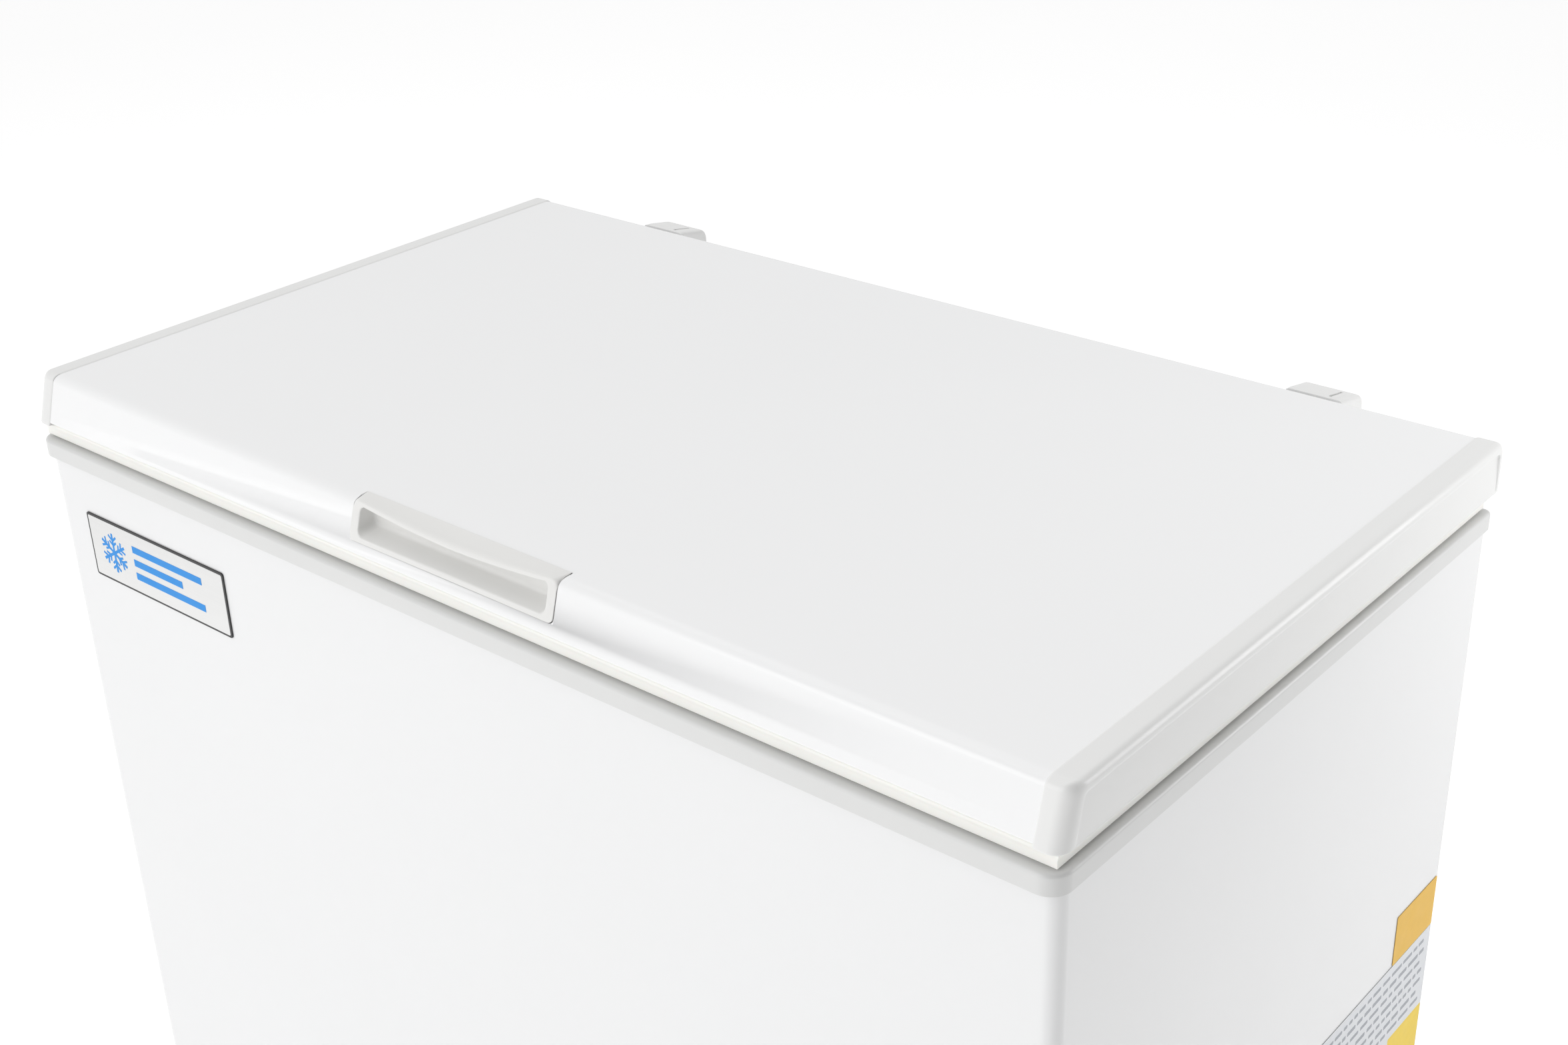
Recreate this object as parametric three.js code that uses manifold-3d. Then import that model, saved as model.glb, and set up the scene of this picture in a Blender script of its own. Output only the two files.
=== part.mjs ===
// A chest freezer with a hinged lid, built from its separate pieces, in millimetres.
// +X runs to the right along the front, +Y to the back and +Z up. The origin is on the floor,
// under the middle of the freezer. The lid is closed.
import * as THREE from 'three';
import { mergeVertices } from 'three/addons/utils/BufferGeometryUtils.js';
import Module from 'manifold-3d';

const wasm = await Module();
wasm.setup();

// Driving dimensions.
const HEIGHT = 850;
const LID_WIDTH = 945;
const LID_DEPTH = 545;
const LID_FRONT_Y = -288.5;
const GAP = 0.3;
const SHEET = 1;

const CABINET = { half: 469.5, front: -283.5, back: 247.5, bottom: 22, top: 796.2, corner: 10 };
const WALL = 61.5;
const FLOOR_Z = 86;
const LINER = {
  half: CABINET.half - WALL + 3,
  front: CABINET.front + WALL,
  back: CABINET.back - WALL - 2,
  corner: 25,
};
const STEP = { x: 228, top: 331 };
const BAY = { x: 278, top: 275 };
const COLLAR = { half: 472, front: -289.5, back: 252, bottom: 785, top: 799, corner: 14.5 };
const LEDGE = { reach: 9, bottom: 768, top: 770.5 };

const CAP_WIDTH = 18.5;
const LID_HALF = LID_WIDTH / 2;
const SKIN_HALF = LID_HALF - CAP_WIDTH - GAP;
const HANDLE_HALF = 97;
const HINGE_PIVOT = { y: 273.5, z: 805 };
const HINGE_CENTRES = [['left', -313], ['right', 329]];

const FOOT_PLACES = [
  ['front_left', -420, -235],
  ['front_right', 420, -235],
  ['back_left', -420, 200],
  ['back_right', 420, 200],
];
const DRAIN = { x: -300, y: -190, z: 56, bore: 8, outer: 11, bend: 22 };
const PANEL = { x: 378, z: 102, width: 120, height: 80 };
const COMPRESSOR = { x: 373, y: 120, radius: 60 };
const BASKET = { left: -388, width: 190, front: -216, back: 178, bottom: 600, wire: 2.4, rim: 3.6 };

// ---- helpers that make closed solids ----

function solidOf(geometry) {
  const bare = geometry.index ? geometry.toNonIndexed() : geometry.clone();
  bare.deleteAttribute('normal');
  bare.deleteAttribute('uv');
  const merged = mergeVertices(bare, 1e-4);
  const triVerts = new Uint32Array(merged.index.array);
  const vertProperties = merged.attributes.position.array;
  return new wasm.Manifold(new wasm.Mesh({ numProp: 3, vertProperties, triVerts }));
}

function geometryOf(solid) {
  const { vertProperties, triVerts } = solid.getMesh();
  const geometry = new THREE.BufferGeometry();
  geometry.setAttribute('position', new THREE.BufferAttribute(new Float32Array(vertProperties), 3));
  geometry.setIndex(new THREE.BufferAttribute(new Uint32Array(triVerts), 1));
  geometry.computeVertexNormals();
  return geometry;
}

function union(solids) {
  return solids.reduce((whole, next) => whole.add(next));
}

function box([x0, x1], [y0, y1], [z0, z1]) {
  const geometry = new THREE.BoxGeometry(x1 - x0, y1 - y0, z1 - z0);
  return solidOf(geometry.translate((x0 + x1) / 2, (y0 + y1) / 2, (z0 + z1) / 2));
}

// A rectangle with its own radius at each end of its second axis.
function roundedRectangle([x0, x1], [y0, y1], lowRadius, highRadius = lowRadius) {
  const shape = new THREE.Shape();
  const [a, b] = [lowRadius, highRadius];
  shape.moveTo(x0 + a, y0);
  shape.lineTo(x1 - a, y0);
  shape.absarc(x1 - a, y0 + a, a, -Math.PI / 2, 0);
  shape.lineTo(x1, y1 - b);
  shape.absarc(x1 - b, y1 - b, b, 0, Math.PI / 2);
  shape.lineTo(x0 + b, y1);
  shape.absarc(x0 + b, y1 - b, b, Math.PI / 2, Math.PI);
  shape.lineTo(x0, y0 + a);
  shape.absarc(x0 + a, y0 + a, a, Math.PI, 1.5 * Math.PI);
  return shape;
}

function polygon(points) {
  return new THREE.Shape(points.map(([u, v]) => new THREE.Vector2(u, v)));
}

// An outline in X and Y, raised from z0 to z1.
function prismZ(shape, [z0, z1], curveSegments = 4) {
  const options = { depth: z1 - z0, bevelEnabled: false, curveSegments };
  return solidOf(new THREE.ExtrudeGeometry(shape, options).translate(0, 0, z0));
}

// An outline in X and Z, extruded from y0 to y1.
function prismY(shape, [y0, y1], curveSegments = 4) {
  const options = { depth: y1 - y0, bevelEnabled: false, curveSegments };
  return solidOf(new THREE.ExtrudeGeometry(shape, options).rotateX(Math.PI / 2).translate(0, y1, 0));
}

// An outline in Y and Z, extruded from x0 to x1.
function prismX(shape, [x0, x1], curveSegments = 4) {
  const options = { depth: x1 - x0, bevelEnabled: false, curveSegments };
  const geometry = new THREE.ExtrudeGeometry(shape, options);
  geometry.rotateX(Math.PI / 2).rotateZ(Math.PI / 2);
  return solidOf(geometry.translate(x0, 0, 0));
}

// A rounded box of the cabinet family: straight sides, its own corner radii in plan.
function tub(half, [front, back], [z0, z1], frontRadius, backRadius = frontRadius) {
  return prismZ(roundedRectangle([-half, half], [front, back], frontRadius, backRadius), [z0, z1], 3);
}

// A turned piece about the Z axis. Its profile runs [radius, height] from the axis and back to it.
function turned(profile, segments = 16) {
  const points = profile.map(([radius, height]) => new THREE.Vector2(radius, height));
  return solidOf(new THREE.LatheGeometry(points, segments).rotateX(Math.PI / 2));
}

function rod(axis, radius, [start, end], [u, v], segments = 12) {
  const geometry = new THREE.CylinderGeometry(radius, radius, end - start, segments);
  const middle = (start + end) / 2;
  if (axis === 'x') geometry.rotateZ(-Math.PI / 2).translate(middle, u, v);
  if (axis === 'y') geometry.translate(u, middle, v);
  if (axis === 'z') geometry.rotateX(Math.PI / 2).translate(u, v, middle);
  return solidOf(geometry);
}

// A path of straight runs that passes exactly through its stops, and is sampled nowhere else.
class StopPath extends THREE.Curve {
  constructor(stops) {
    super();
    this.stops = stops;
  }

  get steps() {
    return this.stops.length - 1;
  }

  getUtoTmapping(u) {
    return u;
  }

  getPoint(t) {
    const place = Math.min(Math.max(t, 0), 1) * this.steps;
    const index = Math.min(Math.floor(place), this.steps - 1);
    return this.stops[index].clone().lerp(this.stops[index + 1], place - index);
  }
}

function vectors(places) {
  return places.map(([x, y, z]) => new THREE.Vector3(x, y, z));
}

// Straight runs between corners, with each corner rounded by a short curve.
function bentPath(places, radius, cornerSteps = 2) {
  const corners = vectors(places);
  const stops = [corners[0]];
  for (let i = 1; i < corners.length - 1; i += 1) {
    const before = corners[i - 1].clone().sub(corners[i]).normalize();
    const after = corners[i + 1].clone().sub(corners[i]).normalize();
    const start = corners[i].clone().addScaledVector(before, radius);
    const end = corners[i].clone().addScaledVector(after, radius);
    stops.push(...new THREE.QuadraticBezierCurve3(start, corners[i], end).getPoints(cornerSteps));
  }
  stops.push(corners[corners.length - 1]);
  return new StopPath(stops);
}

function tube(path, radius, sides = 6) {
  const section = new THREE.Shape();
  for (let i = 0; i < sides; i += 1) {
    const angle = (2 * Math.PI * (i + 0.5)) / sides;
    const place = [radius * Math.cos(angle), radius * Math.sin(angle)];
    if (i === 0) section.moveTo(...place);
    else section.lineTo(...place);
  }
  section.closePath();
  const options = { steps: path.steps, extrudePath: path, bevelEnabled: false };
  return solidOf(new THREE.ExtrudeGeometry(section, options));
}

// A closed body through like polygons, each a list of [x, y, z] corners, with flat ends.
function loft(sections) {
  const sides = sections[0].length;
  const positions = sections.flat(2);
  const index = [];
  for (let s = 0; s < sections.length - 1; s += 1) {
    for (let i = 0; i < sides; i += 1) {
      const [a, b] = [s * sides + i, s * sides + ((i + 1) % sides)];
      index.push(a, b, b + sides, a, b + sides, a + sides);
    }
  }
  const last = (sections.length - 1) * sides;
  for (let i = 1; i < sides - 1; i += 1) {
    index.push(0, i + 1, i);
    index.push(last, last + i, last + i + 1);
  }
  const geometry = new THREE.BufferGeometry();
  geometry.setAttribute('position', new THREE.BufferAttribute(new Float32Array(positions), 3));
  geometry.setIndex(index);
  return solidOf(geometry);
}

// ---- materials ----

function finish(color, roughness, metalness = 0) {
  return () => new THREE.MeshStandardMaterial({ color, roughness, metalness });
}

const paintedWhite = finish(0xf2f3f3, 0.32, 0.1);
const whitePlastic = finish(0xe3e3e1, 0.42);
const warmPlastic = finish(0xdcdbd6, 0.45);
const creamVinyl = finish(0xf0efe6, 0.6);
const linerMetal = finish(0xd3d6d8, 0.38, 0.9);
const galvanised = finish(0xaab0b3, 0.5, 0.85);
const zincSteel = finish(0xb9bcbd, 0.4, 0.9);
const springSteel = finish(0x6d7072, 0.4, 0.9);
const blackPaint = finish(0x1b1c1d, 0.4, 0.3);
const blackPlastic = finish(0x232425, 0.5);
const blackRubber = finish(0x1d1d1d, 0.85);
const copper = finish(0xb66a3c, 0.35, 0.95);
const foamYellow = finish(0xe8d9a0, 0.9);
const badgeSilver = finish(0xc8cacb, 0.3, 0.85);
const iceBlue = finish(0x2f8fd8, 0.4);
const labelPaper = finish(0xdcdde0, 0.6);
const labelOrange = finish(0xe8bd62, 0.6);
const greenLens = finish(0x3fae5a, 0.15);
const amberLens = finish(0xe09a2c, 0.15);
const wireWhite = finish(0xf1f2f1, 0.35);

function piece(name, solid, material) {
  const mesh = new THREE.Mesh(geometryOf(solid), material());
  mesh.name = name;
  return mesh;
}

function placed(mesh, x, y, z) {
  mesh.position.set(x, y, z);
  return mesh;
}

// ---- cabinet: shells, foam and liner ----

const REAR_FLANGE = 14.5;
const SIDE_VENT = { front: -12, back: 192, bottom: 68, top: 242 };
const PANEL_WINDOW = { halfWidth: 55.5, halfHeight: 35.5 };

// The front and both sides in one bent sheet, with a narrow flange at the back.
function cabinetWrapper() {
  const { half, front, back, bottom, top, corner } = CABINET;
  const through = [bottom - 1, top + 1];
  const frontSheet = [front - 5, front + 5];
  const outer = tub(half, [front, back], [bottom, top], corner, 1.5);
  const inner = tub(half - SHEET, [front + SHEET, back - SHEET], through, corner - SHEET, 0.5);
  const rearOpening = box([REAR_FLANGE - half, half - REAR_FLANGE], [back - 5, back + 5], through);
  const ventSpan = [SIDE_VENT.front, SIDE_VENT.back];
  const sideVent = box([half - 5, half + 5], ventSpan, [SIDE_VENT.bottom, SIDE_VENT.top]);
  const { halfWidth, halfHeight } = PANEL_WINDOW;
  const windowSpan = [PANEL.x - halfWidth, PANEL.x + halfWidth];
  const panelWindow = box(windowSpan, frontSheet, [PANEL.z - halfHeight, PANEL.z + halfHeight]);
  const drainHole = rod('y', DRAIN.outer + 1.3, frontSheet, [DRAIN.x, DRAIN.z]);
  const cuts = [inner, rearOpening, sideVent, panelWindow, drainHole];
  return cuts.reduce((sheet, cut) => sheet.subtract(cut), outer);
}

const REAR_SHEET = { outer: CABINET.back - SHEET - GAP, inner: CABINET.back - 2 * SHEET - GAP };
const SIDE_INSET = CABINET.half - SHEET - GAP;
const FRONT_INSET = CABINET.front + SHEET + GAP;
const INSIDE_CORNER = CABINET.corner - SHEET - GAP;

const REAR_OPENING = { left: BAY.x + 2, right: 455, bottom: 35, top: 265 };

function backPanel() {
  const { inner, outer } = REAR_SHEET;
  const sheet = box([-SIDE_INSET, SIDE_INSET], [inner, outer], [CABINET.bottom + GAP, CABINET.top]);
  const { left, right, bottom, top } = REAR_OPENING;
  return sheet.subtract(box([left, right], [inner - 5, outer + 5], [bottom, top]));
}

const PAN_RIM = { wall: 1.2, top: 37 };

function basePan() {
  const { wall, top } = PAN_RIM;
  const back = REAR_SHEET.inner - GAP;
  const outer = tub(SIDE_INSET, [FRONT_INSET, back], [CABINET.bottom, top], INSIDE_CORNER, 1);
  const hollow = [FRONT_INSET + wall, back - wall];
  const height = [CABINET.bottom + wall, top + 5];
  return outer.subtract(tub(SIDE_INSET - wall, hollow, height, INSIDE_CORNER - wall, 0.5));
}

// The space the liner stands in, grown by a clearance all round.
function linerSpace(clearance, [bottom, top]) {
  const { half, front, back, corner } = LINER;
  const span = [front - clearance, back + clearance];
  const tall = tub(half + clearance, span, [bottom - clearance, top], corner + clearance);
  const hump = box([STEP.x + clearance, half + 50], [front - 50, back + 50], [0, STEP.top - clearance]);
  return tall.subtract(hump);
}

function innerLiner() {
  const shell = linerSpace(SHEET, [FLOOR_Z, CABINET.top]);
  const { half, front, back, corner } = LINER;
  const [rim, level] = [21, [CABINET.top - SHEET, CABINET.top]];
  const flange = tub(half + rim, [front - rim, back + rim], level, corner + rim);
  const drainHole = rod('z', DRAIN.outer + 0.4, [FLOOR_Z - 5, FLOOR_Z + 5], [DRAIN.x, DRAIN.y]);
  return shell.add(flange).subtract(linerSpace(0, [FLOOR_Z, HEIGHT])).subtract(drainHole);
}

const EVAPORATOR = { radius: 4, turns: 4, low: 390, high: 735, out: 5.4 };

// The evaporator winds up round the liner, then drops in the right-hand wall to the compressor bay.
function evaporatorPath() {
  const { half, front, back } = LINER;
  const [x, y0, y1] = [half + EVAPORATOR.out, front - EVAPORATOR.out, back + EVAPORATOR.out];
  const ring = [[x, y1], [-x, y1], [-x, y0], [x, y0]];
  const rise = (EVAPORATOR.high - EVAPORATOR.low) / (EVAPORATOR.turns * ring.length);
  const [dropX, dropY, level] = [x + 26, y1 - 150, EVAPORATOR.low];
  const corners = [[dropX, dropY, BAY.top - 12], [dropX, dropY, level], [x, y1 - 80, level]];
  for (let i = 0; i < EVAPORATOR.turns * ring.length; i += 1) {
    corners.push([...ring[i % ring.length], EVAPORATOR.low + rise * i]);
  }
  corners.push([x, 0, EVAPORATOR.high]);
  return bentPath(corners, 16);
}

const CONDENSER = { radius: 2.5, left: -440, right: 160, low: 120, pitch: 120, passes: 5 };

// The condenser runs to and fro behind the front skin, with both ends in the compressor bay.
function condenserPath() {
  const y = FRONT_INSET + CONDENSER.radius;
  const { left, right, low, pitch, passes } = CONDENSER;
  const corners = [[BAY.x + 12, y, low]];
  for (let i = 0; i < passes; i += 1) {
    const z = low + i * pitch;
    const end = i % 2 === 0 ? left : right;
    corners.push([end, y, z]);
    if (i < passes - 1) corners.push([end, y, z + pitch]);
  }
  corners[corners.length - 1] = [right + 60, y, low + (passes - 1) * pitch];
  corners.push([right + 60, y, low + 70], [BAY.x + 12, y, low + 70]);
  return bentPath(corners, 26);
}

function drainPath() {
  const { x, y, z, bend } = DRAIN;
  return bentPath([[x, y, FLOOR_Z - 0.1], [x, y, z], [x, CABINET.front, z]], bend, 4);
}

function drainBorePath() {
  const { x, y, z, bend } = DRAIN;
  const corners = [[x, y, FLOOR_Z + 9], [x, y, z], [x, CABINET.front - 9, z]];
  return bentPath(corners, bend, 4);
}

function foamInsulation() {
  const back = REAR_SHEET.inner - GAP;
  const top = CABINET.top - SHEET - GAP;
  const rim = PAN_RIM.wall + GAP;
  const upper = tub(SIDE_INSET, [FRONT_INSET, back], [PAN_RIM.top + GAP, top], INSIDE_CORNER, 1);
  const pan = [FRONT_INSET + rim, back - rim];
  const panHeight = [CABINET.bottom + rim, PAN_RIM.top + 2];
  const lower = tub(SIDE_INSET - rim, pan, panHeight, INSIDE_CORNER - rim, 0.5);
  const bay = box([BAY.x, CABINET.half], [CABINET.front, CABINET.back], [0, BAY.top]);
  return upper
    .add(lower)
    .subtract(linerSpace(SHEET + GAP, [FLOOR_Z, HEIGHT]))
    .subtract(bay)
    .subtract(tube(evaporatorPath(), EVAPORATOR.radius + 0.6))
    .subtract(tube(condenserPath(), CONDENSER.radius + 0.5))
    .subtract(tube(drainBorePath(), DRAIN.outer + 0.5, 10));
}

function drainTube() {
  return tube(drainPath(), DRAIN.outer, 10).subtract(tube(drainBorePath(), DRAIN.bore, 10));
}

function drainCap() {
  const face = CABINET.front - 1.3;
  const disc = turned([[0, -4.2], [14, -4.2], [16, -2.6], [16, 0], [0, 0]], 20);
  const stem = rod('z', DRAIN.bore - 0.8, [-1, 16], [0, 0], 10);
  const cap = disc.add(stem).rotate([-90, 0, 0]);
  return cap.translate([DRAIN.x, face, DRAIN.z]);
}

function drainPlug() {
  const head = turned([[0, 0], [14, 0], [14, 2.5], [10, 5], [0, 5]], 20);
  const stem = rod('z', DRAIN.bore - 0.8, [-11, 1], [0, 0], 10);
  const lug = box([-8, 8], [-1.5, 1.5], [4, 12]);
  return union([head, stem, lug]).translate([DRAIN.x, DRAIN.y, FLOOR_Z + 0.4]);
}

// A block with a small bevel round its top edge.
function bevelledTub(half, [front, back], [z0, z1], bevel, frontRadius, backRadius) {
  const inset = roundedRectangle(
    [bevel - half, half - bevel],
    [front + bevel, back - bevel],
    frontRadius - bevel,
    backRadius - bevel,
  );
  const edge = { bevelThickness: bevel, bevelSize: bevel, bevelSegments: 1 };
  const options = { depth: z1 - z0 - bevel, curveSegments: 3, ...edge };
  const whole = solidOf(new THREE.ExtrudeGeometry(inset, options).translate(0, 0, z0));
  return whole.subtract(box([-2 * half, 2 * half], [2 * front, 2 * back], [z0 - 2 * bevel, z0]));
}

function topCollar() {
  const { half, front, back, bottom, top, corner } = COLLAR;
  const rim = bevelledTub(half, [front, back], [bottom, top], 2.4, corner, 5);
  const skirt = [CABINET.front - GAP, CABINET.back + GAP];
  const seat = [bottom - 5, CABINET.top + GAP];
  const underside = tub(CABINET.half + GAP, skirt, seat, CABINET.corner + GAP, 1.8);
  const lipSpan = [LINER.front + 0.4, LINER.back - 0.4];
  const lip = tub(LINER.half - 0.4, lipSpan, [LEDGE.bottom, top - 1], LINER.corner - 0.4);
  const wall = 2.6;
  const mouth = [LINER.front + wall, LINER.back - wall];
  const opening = tub(LINER.half - wall, mouth, [LEDGE.top, top + 5], LINER.corner - wall);
  const inset = wall + LEDGE.reach;
  const throat = [LINER.front + inset, LINER.back - inset];
  const lower = tub(LINER.half - inset, throat, [LEDGE.bottom - 5, LEDGE.top + 1], LINER.corner - inset);
  return rim.subtract(underside).add(lip).subtract(opening).subtract(lower);
}

// ---- cabinet: what is fixed to its outside ----

const BADGE = { left: -431, right: -256.5, bottom: 689.5, top: 744.2, border: 2.2 };

function badgeBacking() {
  const shape = roundedRectangle([BADGE.left, BADGE.right], [BADGE.bottom, BADGE.top], 2.5);
  return prismY(shape, [CABINET.front - 1.6, CABINET.front - GAP]);
}

function badgeFace() {
  const { left, right, bottom, top, border } = BADGE;
  const shape = roundedRectangle([left + border, right - border], [bottom + border, top - border], 1.2);
  return prismY(shape, [CABINET.front - 2.6, CABINET.front - 1.9]);
}

// A plain six-armed snow crystal.
function badgeEmblem() {
  const arms = [];
  const face = CABINET.front - 2.9;
  for (let i = 0; i < 3; i += 1) {
    arms.push(box([-17, 17], [-0.5, 0], [-1.3, 1.3]).rotate([0, 60 * i, 0]));
  }
  for (let i = 0; i < 6; i += 1) {
    for (const lean of [-45, 45]) {
      const twig = box([0, 7.5], [-0.5, 0], [-1.1, 1.1]).rotate([0, lean, 0]);
      arms.push(twig.translate([8.5, 0, 0]).rotate([0, 60 * i, 0]));
    }
  }
  const middle = [BADGE.left + 31, face, (BADGE.bottom + BADGE.top) / 2];
  return union(arms).rotate([0, 30, 0]).translate(middle);
}

const LABEL = { thick: 0.4, back: 245, top: 449, bottom: 290, length: 190 };
const TAB = { front: 179, back: 245, bottom: 449.6, top: 494 };

function sideLabel() {
  const x = CABINET.half + GAP;
  return box([x, x + LABEL.thick], [LABEL.back - LABEL.length, LABEL.back], [LABEL.bottom, LABEL.top]);
}

function featureSticker() {
  const x = CABINET.half + GAP;
  return box([x, x + LABEL.thick], [TAB.front, TAB.back], [TAB.bottom, TAB.top]);
}

function controlPanel() {
  const { x, z, width, height } = PANEL;
  const face = CABINET.front - GAP;
  const around = (w, h) => roundedRectangle([x - w / 2, x + w / 2], [z - h / 2, z + h / 2], 5);
  const flange = prismY(around(width, height), [face - 2.6, face]);
  const dish = prismY(around(width - 10, height - 10), [face - 1, face + 16]);
  const hollow = prismY(around(width - 15, height - 15), [face - 5, face + 13.5]);
  const shaftHole = rod('y', 3.6, [face, face + 30], [x - 24, z]);
  return flange.add(dish).subtract(hollow).subtract(shaftHole);
}

const KNOB = { x: PANEL.x - 24, z: PANEL.z, radius: 19 };

function thermostatKnob() {
  const floor = CABINET.front - GAP + 13.5;
  const { radius } = KNOB;
  const profile = [[0, 0], [radius, 0], [radius, 5], [radius - 3, 15.5], [radius - 5, 17], [0, 17]];
  const body = turned(profile, 24);
  const grip = box([-2.5, 2.5], [-radius + 4, radius - 4], [15, 18.4]);
  const shaft = rod('z', 3, [-9, 1], [0, 0]);
  const knob = union([body, grip, shaft]).rotate([90, 0, 0]);
  return knob.translate([KNOB.x, floor - 0.5, KNOB.z]);
}

function thermostatBody() {
  const behind = CABINET.front - GAP + 16.3;
  const block = box([KNOB.x - 17, KNOB.x + 17], [behind, behind + 26], [KNOB.z - 14, KNOB.z + 14]);
  const bellows = rod('y', 11, [behind + 20, behind + 34], [KNOB.x, KNOB.z], 14);
  const socket = rod('y', 3.6, [behind - 5, behind + 12], [KNOB.x, KNOB.z]);
  return block.add(bellows).subtract(socket);
}

function indicator(name, x, material) {
  const lens = turned([[0, 0], [4, 0], [4, 2], [2.8, 3.6], [0, 4.2]], 12).rotate([90, 0, 0]);
  const floor = CABINET.front - GAP + 13.2;
  return placed(piece(name, lens, material), x, floor, PANEL.z + 12);
}

// A plate with a column of level slots through it.
function louvred(plate, slot, zs) {
  return zs.reduce((solid, z) => solid.subtract(slot(z)), plate);
}

function slotHeights(count, first, pitch) {
  return Array.from({ length: count }, (_, i) => first + i * pitch);
}

function sideGrille() {
  const x = CABINET.half + GAP;
  const { front, back, bottom, top } = SIDE_VENT;
  const [lap, frame] = [10, 20];
  const outline = roundedRectangle([front - lap, back + lap], [bottom - lap, top + lap], 6);
  const plate = prismX(outline, [x, x + 2.5], 3);
  const slotSpan = [front + frame - lap, back - frame + lap];
  const slot = (z) => box([x - 5, x + 5], slotSpan, [z - 3.5, z + 3.5]);
  return louvred(plate, slot, slotHeights(9, 83, 18));
}

const GLAND = { x: 425, z: 62 };
const COVER_LAP = 8;

function rearServiceCover() {
  const y = CABINET.back + GAP;
  const { left, right, bottom, top } = REAR_OPENING;
  const span = [left - COVER_LAP, right + COVER_LAP - 1];
  const plate = box(span, [y, y + 1.5], [bottom - COVER_LAP, top + COVER_LAP]);
  const slot = (z) => box([left + 30, right - 25], [y - 5, y + 5], [z - 3, z + 3]);
  const glandHole = rod('y', 9.4, [y - 5, y + 5], [GLAND.x, GLAND.z]);
  return louvred(plate, slot, slotHeights(8, 112, 18)).subtract(glandHole);
}

function cordGland() {
  const profile = [[3.8, -9], [9, -9], [9, 2.1], [12.5, 2.1], [12.5, 4.5], [8, 11], [3.8, 11], [3.8, -9]];
  const gland = turned(profile, 14).rotate([-90, 0, 0]);
  return gland.translate([GLAND.x, CABINET.back, GLAND.z]);
}

function foot() {
  return turned([[0, 0], [15, 0], [17, 2], [20, 17], [20, 21.7], [0, 21.7]], 14);
}

// ---- compressor bay ----

function compressorPlate() {
  return box([284, 462], [20, 236], [23.6, 25.8]);
}

const GROMMET_PLACES = [[-46, -62], [46, -62], [46, 62], [-46, 62]];

function grommet() {
  return turned([[3.5, 0], [9.5, 0], [9.5, 5], [7, 7], [9.5, 9], [9.5, 15], [3.5, 15], [3.5, 0]], 10);
}

function compressorShell() {
  const r = COMPRESSOR.radius;
  const profile = [
    [0, 0], [r * 0.62, 0], [r * 0.9, 8], [r, 22], [r, 74], [r + 2.5, 76],
    [r + 2.5, 82], [r, 84], [r, 118], [r * 0.86, 138], [r * 0.5, 149], [0, 152],
  ];
  const pot = turned(profile, 20).scale([0.94, 1.08, 1]);
  const feet = box([-58, 58], [-74, 74], [-2, 1.5]);
  return pot.add(feet).translate([COMPRESSOR.x, COMPRESSOR.y, 43.6]);
}

function relayCover() {
  const front = COMPRESSOR.y - COMPRESSOR.radius * 1.08 - 3;
  return box([COMPRESSOR.x - 26, COMPRESSOR.x + 26], [front - 30, front], [78, 140]);
}

const DRIER = { x: 330, y: -190, z: 190 };

function filterDrier() {
  const profile = [[0, -52], [3, -52], [3.5, -44], [9, -34], [9, 34], [3.5, 44], [3, 52], [0, 52]];
  return turned(profile, 12).translate([DRIER.x, DRIER.y, DRIER.z]);
}

function dischargeTube() {
  const x = COMPRESSOR.x + 30;
  return tube(bentPath([[x, -10, 100], [x, -240, 100], [x, -240, 150]], 24), 3);
}

function suctionTube() {
  const x = COMPRESSOR.x + 40;
  const { y } = COMPRESSOR;
  const corners = [[x, y - 72, 160], [x, y - 100, 160], [x, y - 100, 240], [x, y - 20, 240]];
  return tube(bentPath(corners, 14), 4);
}

// ---- basket ----

// A straight wire of square section between two points on a line along an axis.
function bar([x0, y0, z0], [x1, y1, z1], thick) {
  const h = thick / 2;
  const span = (a, b) => [Math.min(a, b) - h, Math.max(a, b) + h];
  return box(span(x0, x1), span(y0, y1), span(z0, z1));
}

function basket() {
  const { left, width, front, back, bottom, wire, rim } = BASKET;
  const right = left + width;
  const hang = LEDGE.top + GAP + rim / 2;
  const [bodyFront, bodyBack] = [front + 11, back - 11];
  const bars = [];
  for (const y of [front, back]) bars.push(bar([left, y, hang], [right, y, hang], rim));
  for (const x of [left, right]) bars.push(bar([x, front, hang], [x, back, hang], rim));
  const ring = (bottom + hang) / 2;
  for (const y of [bodyFront, bodyBack]) bars.push(bar([left, y, ring], [right, y, ring], wire));
  for (const x of [left, right]) bars.push(bar([x, bodyFront, ring], [x, bodyBack, ring], wire));
  const acrossCount = 4;
  for (let i = 0; i <= acrossCount; i += 1) {
    const x = left + (width * i) / acrossCount;
    bars.push(bar([x, bodyFront, bottom], [x, bodyBack, bottom], wire));
    for (const [y, lip] of [[bodyFront, front], [bodyBack, back]]) {
      bars.push(bar([x, y, bottom], [x, y, hang], wire), bar([x, y, hang], [x, lip, hang], wire));
    }
  }
  const alongCount = 6;
  for (let i = 1; i < alongCount; i += 1) {
    const y = bodyFront + ((bodyBack - bodyFront) * i) / alongCount;
    bars.push(bar([left, y, bottom], [right, y, bottom], wire));
    for (const x of [left, right]) bars.push(bar([x, y, bottom], [x, y, hang], wire));
  }
  return union(bars);
}

// ---- lid, in its own frame: y = 0 at its front bottom edge, z = 0 at its top ----

const LID = { slope: 11.5, round: 11, capBottom: -38.5, skinBottom: -33.8, skinDrop: 0.7 };

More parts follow.
